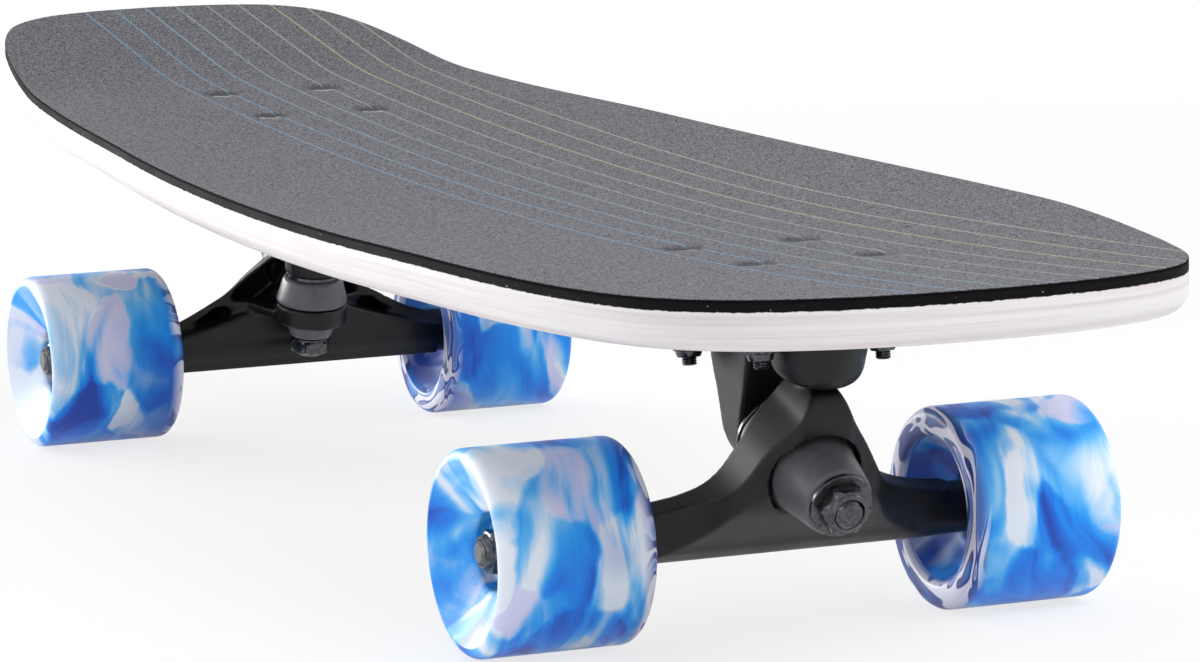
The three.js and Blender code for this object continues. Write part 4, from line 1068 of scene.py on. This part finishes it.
def tyre(name, node_name, axis):
    """A tyre: a deep bowl on its truck side, and a dished outer face with a recess for the nut."""
    place, radius, width = seat_of(node_name, axis)
    shoulder = 9.4
    low = width / 2 - HUB_HALF
    high = width / 2 + HUB_HALF
    floor = width - 8.6
    edge = WHEEL_EDGE
    inner = [(shoulder, low + BEARING_WIDTH), (BEARING_SEAT, low + BEARING_WIDTH), (BEARING_SEAT, low),
             (14.5, low - 1.6), (19.5, 8.5), (23, 2.4), (24.6, 0.3), (25.4, 0)]
    outer = [(radius - edge, width), (NUT_RECESS + 1.1, floor), (NUT_RECESS, floor - 1), (NUT_RECESS, high),
             (BEARING_SEAT, high), (BEARING_SEAT, high - BEARING_WIDTH), (shoulder, high - BEARING_WIDTH)]
    tread = []
    for start, middle in ((-0.5, edge), (0, width - edge)):
        for i in range(9):
            angle = math.pi * (start + i / 16)
            tread.append((radius - edge + edge * math.cos(angle), middle + edge * math.sin(angle)))
    body = [*rounded(inner, 1.6, 5), *tread, *rounded(outer, 1.2, 5)]
    finished(name, turned([*body, body[0]], place, 128), "wheel_urethane", node_name)


def bearing(name, node_name, axis):
    """A bearing's outer race with its shield, which has a slight groove."""
    place, radius, length = seat_of(node_name, axis)
    profile = [(6.5, 0.1), (8.2, 0.25), (9.4, 0.1), (9.7, 0), (radius - 0.3, 0), (radius, 0.3),
               (radius, length - 0.3), (radius - 0.3, length), (9.7, length), (9.4, length - 0.5),
               (8.2, length - 0.35), (6.5, length - 0.5), (6.5, 0.1)]
    finished(name, turned(profile, place, 64), "bearing_steel", node_name)


def axle(name, node_name):
    """Axle: a plain rod with a thread at each end."""
    place, radius, length = seat_of(node_name, (0, 1, 0))
    end = 12
    pitch = 1.3
    low = thread_profile(radius, 0.9, end, pitch)
    high = [(r, length - h) for r, h in reversed(low)]
    profile = [(0, 0), (radius - 0.9, 0), *low, (radius, end + 0.1), (radius, length - end - 0.1), *high,
               (radius - 0.9, length), (0, length)]
    shape = threaded(radius, pitch, 0.5, lambda height: height < end or height > length - end)
    finished(name, turned(profile, place, 48, shape), "axle_steel", node_name)


def build_running_gear():
    """Both axles, with the wheels, bearings and nuts on them."""
    for truck in ("front", "rear"):
        axle(f"{truck}_axle_rod", f"{truck}_axle")
        for side, sign in (("left", 1), ("right", -1)):
            out = (0, sign, 0)
            base = f"{truck}_{side}"
            tyre(f"{base}_wheel_tyre", f"{base}_tyre", out)
            bearing(f"{base}_inner_bearing", f"{base}_bearing_inner", (0, -sign, 0))
            bearing(f"{base}_outer_bearing", f"{base}_bearing_outer", out)
            ring(f"{base}_races", f"{base}_bearing_sleeve", out, 4.1, 0.3, "bearing_steel")
            hex_nut(f"{base}_axle_lock_nut", f"{base}_axle_nut", out, AXLE_HOLE, 0.3)


build_running_gear()


# Castings: built from smooth outlines, then given a cast skin with softened edges

VOXEL = 0.7
PLATE_LENGTH = 80
PLATE_WIDTH = 57
PLATE_CORNER = 9
PLATE_THICKNESS = 5.5
HANGER_END = 67.2
BEAM_RADIUS = 8.7
BEAM_END_RADIUS = 8.2
RING_HOLE = 7.6
PIVOT_PIN = 5.6
PIN_DEPTH = 8.7  # how far a pivot pin reaches past its cup's mouth
CUP_POCKET = 7.95
CUP_DEPTH = 9
BOLT_HOLE = 2.7
KINGPIN_HEAD_POCKET = 8.3
NUT_HEIGHT = 3.2
OVERRUN = 4  # how far a cutting tool runs past the face it cuts


def truck_place(truck, name):
    """A node's middle in millimetres: across, and in the truck frame's Y and Z."""
    low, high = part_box(name)
    return truck.inverted() @ ((Vector(low) + Vector(high)) / 2)


def outlined(points, radius=2.5, steps=4):
    """A closed outline with rounded corners."""
    points = [Vector(p) for p in points]
    ring_points = [points[-1], *points, points[0]]
    return rounded(ring_points, radius, steps)[1:-1]


def sideways(truck):
    """The truck frame turned so that an outline of (Y, Z) is extruded across."""
    return about(truck, ((0, 1, 0), (0, 0, 1), (1, 0, 0)))


def from_above(truck):
    """The truck frame turned so that an outline of (across, Z) is extruded down its Y axis."""
    return about(truck, ((1, 0, 0), (0, 0, 1), (0, -1, 0)))


def beam_parts(name):
    """The beam round an axle, and the hole that the axle goes through."""
    low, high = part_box(name)
    middle = (Vector(low) + Vector(high)) / 2
    place = frame_at(middle, (1, 0, 0), (0, 0, -1))
    neck = HANGER_END - BEAM_RADIUS / 4
    profile = [(0, -HANGER_END), (BEAM_END_RADIUS * 0.9, -HANGER_END), (BEAM_END_RADIUS, -neck),
               (BEAM_RADIUS, -neck + 2 * BEAM_RADIUS), (BEAM_RADIUS, neck - 2 * BEAM_RADIUS),
               (BEAM_END_RADIUS, neck), (BEAM_END_RADIUS * 0.9, HANGER_END), (0, HANGER_END)]
    past = HANGER_END + OVERRUN
    bore = [(0, -past), (AXLE_HOLE, -past), (AXLE_HOLE, past), (0, past)]
    return turned(profile, place, 64), turned(bore, place, 48)


def rod(radius, low, high, place, sides=96):
    """A plain cylinder along the place's Z axis."""
    return turned([(0, low), (radius, low), (radius, high), (0, high)], place, sides)


def steer_frame(origin, up):
    """A frame whose Z axis is a truck's steering axis."""
    return frame_at(origin, ACROSS, Vector(up).cross(ACROSS))


FRONT_STEER = steer_frame(front_joint["pos_m"], FRONT_UP)
REAR_STEER = steer_frame(rear_joint["pos_m"], REAR_STEER_UP)

FRONT_SEAT = 15.4
FRONT_RING_HALF = 6
FRONT_FACE = 8.6
FRONT_BROW = 13.4
FRONT_BACK = 11.5
FRONT_BOSS_FOOT = 30.5
FRONT_APEX = 29.5
FRONT_FLANK = [(0.28, 1), (0.4, 0.9), (0.51, 0.79), (0.64, 0.66), (1.09, 0.33), (1.64, -0.135), (2.18, -0.36),
               (2.98, -0.52)]
BEAM_SIDE = [(0.1, 1.2), (-0.45, 0.95), (-0.88, 0.4), (-1, -0.1), (-0.6, -0.8), (0, -1), (0.6, -0.8)]


def pivot_pin(low, mouth, place):
    """A hanger's pivot pin, which reaches past its cup's mouth."""
    tip = mouth + PIN_DEPTH
    profile = [(0, low), (PIVOT_PIN, low), (PIVOT_PIN, tip - 2), (PIVOT_PIN * 0.58, tip), (0, tip)]
    return turned(profile, place, 48)


def front_hanger():
    """The front hanger: a web where its front, side and plan outlines meet, with its beam, pin and seats."""
    axle_at = truck_place(FRONT, "front_axle")
    up, out = axle_at.y, axle_at.z
    r, s, h = BEAM_RADIUS, FRONT_SEAT, FRONT_FACE
    wide = HANGER_END - r
    foot = up - r
    flank = smooth_line([*[(x * s, y * FRONT_APEX) for x, y in FRONT_FLANK], (wide, up + r)], 8)
    front_view = mirrored([(0, FRONT_APEX), *flank, (wide, foot), (0, foot)])
    beam_side = [(up + y * r, out + z * r) for y, z in BEAM_SIDE]
    side_view = [(FRONT_APEX, -FRONT_BACK * 0.7), (FRONT_APEX, FRONT_BROW * 0.7),
                 (FRONT_APEX * 0.86, FRONT_BROW * 0.92), (s * 1.05, FRONT_BROW),
                 (s * 0.5, (FRONT_BROW + h) / 2), (-s * 0.6, h), *beam_side, (-s * 0.7, -h), (s * 0.5, -h),
                 (s * 1.05, -FRONT_BACK)]
    plan = mirrored([(0, -FRONT_BACK - r), (wide, out - r), (wide, out + r * 0.7), (s * 2.8, out + r),
                     (s * 2.1, out + r * 1.4), (s * 1.5, h * 0.95), (s, h), (s * 0.55, FRONT_BROW),
                     (0, FRONT_BROW)])
    web = worked(slab(front_view, -HANGER_END, HANGER_END, FRONT),
                 [slab(outlined(side_view, 6), -HANGER_END, HANGER_END, sideways(FRONT)),
                  slab(outlined(plan, 9), -HANGER_END, HANGER_END, from_above(FRONT))], "INTERSECT")
    beam, bore = beam_parts("front_axle")
    body = worked(web, [beam, pivot_pin(FRONT_APEX / 2, FRONT_BOSS_FOOT, FRONT_STEER)], "UNION")
    body = cast(body, VOXEL, 2)
    seats = [rod(s, FRONT_RING_HALF, FRONT_BROW + 3 * OVERRUN, FRONT),
             rod(s, -FRONT_BACK - 3 * OVERRUN, -FRONT_RING_HALF, FRONT),
             rod(RING_HOLE, -h * 2, h * 2, FRONT), bore]
    body = cast(worked(body, seats), VOXEL, 1)
    finished("front_truck_hanger", body, "cast_metal", "front_hanger")


FRONT_LEG_HALF = 13
FRONT_LEG_FACE = 20.5
FRONT_LEG_FOOT = 12.5
FRONT_LEG_BACK = math.radians(35)
FRONT_BOSS = 15
FRONT_BOSS_ROOT = 16.2
FRONT_BOSS_ROUND = 7
FRONT_HIGH = 66.7


def plate_frame(truck):
    """A base plate's frame: its top face, under the middle of the bolts."""
    nuts = [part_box(f"{truck}_deck_nut_{i}") for i in range(1, 5)]
    up = PLATE_UP[truck]
    middle = sum((Vector(a) + Vector(b) for a, b in nuts), Vector()) / 8
    top = middle + up * (PLATE_THICKNESS + NUT_HEIGHT) * MM
    return frame_at(top, (up.z, 0, -up.x), (0, 1, 0))


def plate_slab(place):
    """A base plate's flat part."""
    outline = rounded_rectangle(PLATE_LENGTH, PLATE_WIDTH, PLATE_CORNER)
    return slab(outline, -PLATE_THICKNESS, 0, place)


def bolt_holes(truck, up):
    """The tools that bore a base plate for its four bolts."""
    holes = []
    for i in range(1, 5):
        place, _, length = seat_of(f"{truck}_deck_bolt_{i}", up)
        holes.append(rod(BOLT_HOLE, -OVERRUN, length + OVERRUN, place, 32))
    return holes


def trimmed(body, place, truck, up, cuts):
    """A base plate's casting, cut flat where it meets its riser, and bored."""
    size = 2 * PLATE_LENGTH
    lid = slab([(-size, -size), (size, -size), (size, size), (-size, size)], -0.01, size, place)
    return worked(body, [lid, *bolt_holes(truck, up), *cuts])


def front_plate():
    """The front base plate: its flat part, the kingpin's leg and the pivot boss."""
    place = plate_frame("front")
    w, high = FRONT_LEG_HALF, FRONT_HIGH
    arc = [(-w * math.cos(math.pi * i / 24), -w * math.sin(math.pi * i / 24)) for i in range(25)]
    leg = slab([*arc, (w * 1.15, high), (-w * 1.15, high)], -high, -FRONT_LEG_FACE, FRONT)
    back = FRONT_LEG_FACE + FRONT_LEG_FOOT
    foot = w * 0.2
    profile = [(-w - OVERRUN, FRONT_LEG_FACE - 0.1), (high, FRONT_LEG_FACE - 0.1),
               (high, back + (high + foot) * math.tan(FRONT_LEG_BACK)), (-foot, back),
               (-w * 0.75, back - FRONT_LEG_FOOT * 0.35),
               (-w - OVERRUN, FRONT_LEG_FACE + FRONT_LEG_FOOT * 0.25)]
    turned_back = about(FRONT, ((0, 1, 0), (0, 0, -1), (-1, 0, 0)))
    leg = worked(leg, [slab(profile, -w * 2, w * 2, turned_back)], "INTERSECT")
    r, f, e = FRONT_BOSS, FRONT_BOSS_FOOT, FRONT_BOSS_ROUND
    boss_profile = [(0, f), (r - 0.6, f), (r, f + 2 * e), (FRONT_BOSS_ROOT, high), (0, high)]
    boss = turned(rounded(boss_profile, e, 8), FRONT_STEER)
    body = cast(worked(plate_slab(place), [leg, boss], "UNION"), VOXEL, 3)
    head_seat = FRONT_LEG_FACE + FRONT_LEG_FOOT * 0.72
    cuts = [rod(KINGPIN_HEAD_POCKET, -high, -head_seat, FRONT), rod(KINGPIN_HOLE, -high, 0, FRONT),
            rod(CUP_POCKET, f - OVERRUN, f + CUP_DEPTH, FRONT_STEER, 48)]
    up = (place.to_3x3() @ Vector((0, 0, 1))).normalized()
    body = cast(trimmed(body, place, "front", up, cuts), VOXEL, 1)
    finished("front_truck_plate", body, "cast_metal", "front_baseplate")


# Rear truck: an A-shaped web with three pairs of pockets, a yoke to the ring, and a front wall

REAR_RING = 13.6
REAR_RING_HALF = 3.75
WEB_TOP = 24
WEB_FRONT = 19
WEB_BACK = 32
POCKET_DEPTH = 10
DRAFT_SHARE = 0.3   # how far the web's top drops for each millimetre back
NARROWING = 0.015   # and the share of its width that it loses
WEB_SHARES = [(0.2, 0.94), (0.34, 0.8), (0.45, 0.68), (0.65, 0.54), (0.88, 0.38), (1.15, 0.16), (1.35, 0.03),
              (1.9, -0.26), (2.2, -0.37)]
POCKET_SHARES = {
    "large": [(0.36, 0.68), (0.14, 0.55), (0.19, 0.3), (0.31, 0.17), (0.6, -0.02), (0.83, -0.14),
              (1.02, -0.09), (1.16, 0.1), (1.02, 0.25), (0.72, 0.47), (0.48, 0.63)],
    "small": [(1.36, -0.05), (1.18, -0.07), (1.11, -0.2), (1.28, -0.4), (1.62, -0.54), (1.95, -0.55),
              (1.78, -0.33)],
    "middle": [(0.07, 0.18), (0.17, 0.18), (0.47, -0.01), (0.66, -0.12), (0.07, -0.12)],
}
LEDGE_SHARES = [(0, -0.07), (1.3, -0.22), (2, -0.45), (2.8, -0.69), (3.5, -0.87)]


def drafted(points, low, high, place, above):
    """A slab in an upright frame whose upper part slopes down and narrows towards the back."""
    body = slab(points, low, high, None)
    for vertex in body.vertices:
        if vertex.co.y > above:
            back = min(0, vertex.co.z + WEB_FRONT)
            vertex.co.y += back * DRAFT_SHARE
            vertex.co.x *= 1 + back * NARROWING
    body.transform(place)
    body.update()
    return body


def rear_hanger():
    """The rear hanger: the pocketed web, the yoke out to its ring, the wall over its beam, and its pin."""
    axle_at = truck_place(REAR, "rear_axle")
    ahead, down = axle_at.y, axle_at.z
    r = BEAM_RADIUS
    wide = HANGER_END - r
    upright = about(REAR, ((1, 0, 0), (0, 0, -1), (0, 1, 0)))
    scaled = [(x * WEB_TOP, y * WEB_TOP) for x, y in WEB_SHARES]
    flank = smooth_line([*scaled, (wide, -down + r)], 8)
    lower = -down - r / 2
    above = -down + r / 2
    web_view = mirrored([(0, WEB_TOP), *flank, (wide, lower), (0, lower)])
    web = drafted(web_view, -WEB_BACK, -WEB_FRONT, upright, above)
    deep = -WEB_FRONT - POCKET_DEPTH
    pockets = []
    for shares in POCKET_SHARES.values():
        outline = outlined([(x * WEB_TOP, y * WEB_TOP) for x, y in shares], 2.2, 4)
        for side in (1, -1):
            points = [(p.x * side, p.y) for p in outline][::side]
            pockets.append(drafted(points, deep, -WEB_FRONT + OVERRUN, upright, above))
    web = worked(web, pockets)
    yoke_view = mirrored([(0, REAR_RING / 4), (REAR_RING * 0.98, 0), (REAR_RING * 1.04, -REAR_RING * 0.35),
                          (REAR_RING * 1.5, -WEB_FRONT + r * 0.3), (REAR_RING * 2, -WEB_FRONT),
                          (REAR_RING * 2, ahead), (0, ahead)])
    yoke = slab(yoke_view, 0, REAR_RING_HALF, REAR)
    ring_body = rod(REAR_RING, -REAR_RING_HALF, REAR_RING_HALF, REAR)
    ledge = smooth_line([(x * REAR_RING, y * REAR_RING) for x, y in LEDGE_SHARES], 6)
    wall_view = mirrored([*ledge, (wide, -down + r * 0.6), (wide, -down - r * 0.8), (0, -down - r * 0.8)])
    wall = slab(wall_view, ahead, ahead + r * 0.9, upright)
    low_cup = min((REAR_STEER.inverted() @ v.co).z for v in NODES["rear_pivot_cup"].data.vertices)
    neck_low = WEB_FRONT * 1.3
    neck_high = low_cup - OVERRUN
    nose = turned([(0, neck_low), (PIVOT_PIN * 1.6, neck_low), (PIVOT_PIN * 1.6, neck_low + r),
                   (PIVOT_PIN + OVERRUN / 2, neck_high), (0, neck_high)], REAR_STEER, 48)
    beam, bore = beam_parts("rear_axle")
    parts = [yoke, wall, ring_body, beam, nose, pivot_pin(neck_low, low_cup, REAR_STEER)]
    body = cast(worked(web, parts, "UNION"), VOXEL, 2)
    body = cast(worked(body, [rod(RING_HOLE, -REAR_RING, REAR_RING, REAR), bore]), VOXEL, 1)
    finished("rear_truck_hanger", body, "cast_metal", "rear_hanger")


def rear_plate():
    """The rear base plate: the frame's own solid with a cast skin."""
    copy = NODES["rear_baseplate"].data.copy()
    finished("rear_truck_plate", cast(copy, VOXEL, 4), "cast_metal", "rear_baseplate")


front_hanger()
front_plate()
rear_hanger()
rear_plate()

for name, slot in (("front_riser", "riser_plastic"), ("rear_riser", "riser_plastic"),
                   ("front_pivot_cup", "cup_plastic"), ("rear_pivot_cup", "cup_plastic")):
    kept = NODES[name]
    kept.data.materials.clear()
    kept.data.materials.append(FINISHES[slot])


# Floor, lamps and world

def lamp(name, place, target, size, watts):
    """A soft rectangular lamp that shines from its place towards a target."""
    data = bpy.data.lights.new(name, "AREA")
    data.shape = "RECTANGLE"
    data.size, data.size_y = size
    data.energy = watts
    made = bpy.data.objects.new(name, data)
    made.matrix_world = (Matrix.Translation(place)
                         @ (Vector(target) - Vector(place)).to_track_quat("-Z", "Y").to_matrix().to_4x4())
    made.visible_camera = False
    SCENE.collection.objects.link(made)


def sees_backdrop(tree):
    """One for the rays that see the white backdrop: the camera's, and those that gloss and glass send on."""
    rays = node(tree, "LightPath").outputs
    bright = maths(tree, "MAXIMUM", rays["Is Camera Ray"], rays["Is Glossy Ray"])
    return maths(tree, "MAXIMUM", bright, rays["Is Transmission Ray"])


FLOOR_HALF = 8
FLOOR_DROP = 0.0005
FLOOR_WHITE = (0.93, 0.93, 0.93)
# The floor's own light to the camera, from near the board to far off, and where it starts and ends growing
NEAR_GLOW, FAR_GLOW = 0.75, 1.0
GLOW_FROM, GLOW_TO = 0.5, 1.6


def make_floor():
    """A white floor that shines a little by itself to the camera, so it is white but keeps its shadow."""
    size = FLOOR_HALF
    mesh = mesh_of([(-size, -size, 0), (size, -size, 0), (size, size, 0), (-size, size, 0)], [(0, 1, 2, 3)])
    floor = bpy.data.objects.new("floor", mesh)
    floor.location.z = -FLOOR_DROP
    SCENE.collection.objects.link(floor)
    made, tree, shader = material("floor", base_color=FLOOR_WHITE, roughness=0.8, specular_ior_level=0.1)
    place = node(tree, "TexCoord").outputs["Object"]
    away = node(tree, "VectorMath", {0: place}, operation="LENGTH").outputs["Value"]
    far = mapped(tree, away, GLOW_FROM, GLOW_TO, NEAR_GLOW, FAR_GLOW, smooth=True)
    seen = sees_backdrop(tree)
    glow = node(tree, "Emission")
    glow.inputs["Color"].default_value = (1, 1, 1, 1)
    mixed = node(tree, "MixShader", {0: maths(tree, "MULTIPLY", seen, far), 1: shader.outputs[0],
                                     2: glow.outputs[0]})
    tree.links.new(mixed.outputs[0], tree.nodes["Material Output"].inputs["Surface"])
    mesh.materials.append(made)


def make_world():
    """White to the camera and in reflections. As a light it is dimmer, and dimmest behind the camera."""
    world = bpy.data.worlds.new("studio")
    world.use_nodes = True
    tree = world.node_tree
    seen = sees_backdrop(tree)
    way = node(tree, "TexCoord").outputs["Generated"]
    ahead = node(tree, "SeparateXYZ", {"Vector": way}).outputs["X"]
    dim = mapped(tree, ahead, -0.8, 0.8, 0.5, 0.3, smooth=True)
    strength = node(tree, "Mix", {0: seen, 2: dim, 3: 1.0}).outputs[0]
    background = tree.nodes["Background"]
    background.inputs["Color"].default_value = (1, 1, 1, 1)
    tree.links.new(strength, background.inputs["Strength"])
    SCENE.world = world


def make_stage():
    """The floor, the world and the lamps, of which the one behind on the left is the strongest."""
    make_floor()
    make_world()
    lamp("behind_left", (-2.0, -1.2, 0.48), (0.1, 0, 0.07), (1.8, 0.8), 54)
    lamp("left", (0.7, -1.6, 0.8), (0.1, 0, 0.06), (1.4, 0.8), 5)
    lamp("top", (0.2, 0.0, 2.2), (0.1, 0, 0), (1.6, 1.2), 10)
    lamp("right", (0.6, 1.6, 0.9), (0.0, 0, 0.06), (1.2, 0.8), 5)
    lamp("front", (1.5, 0.5, 1.5), (0.25, 0, 0.05), (1.5, 0.7), 20)


make_stage()

SCENE.view_settings.view_transform = "Standard"
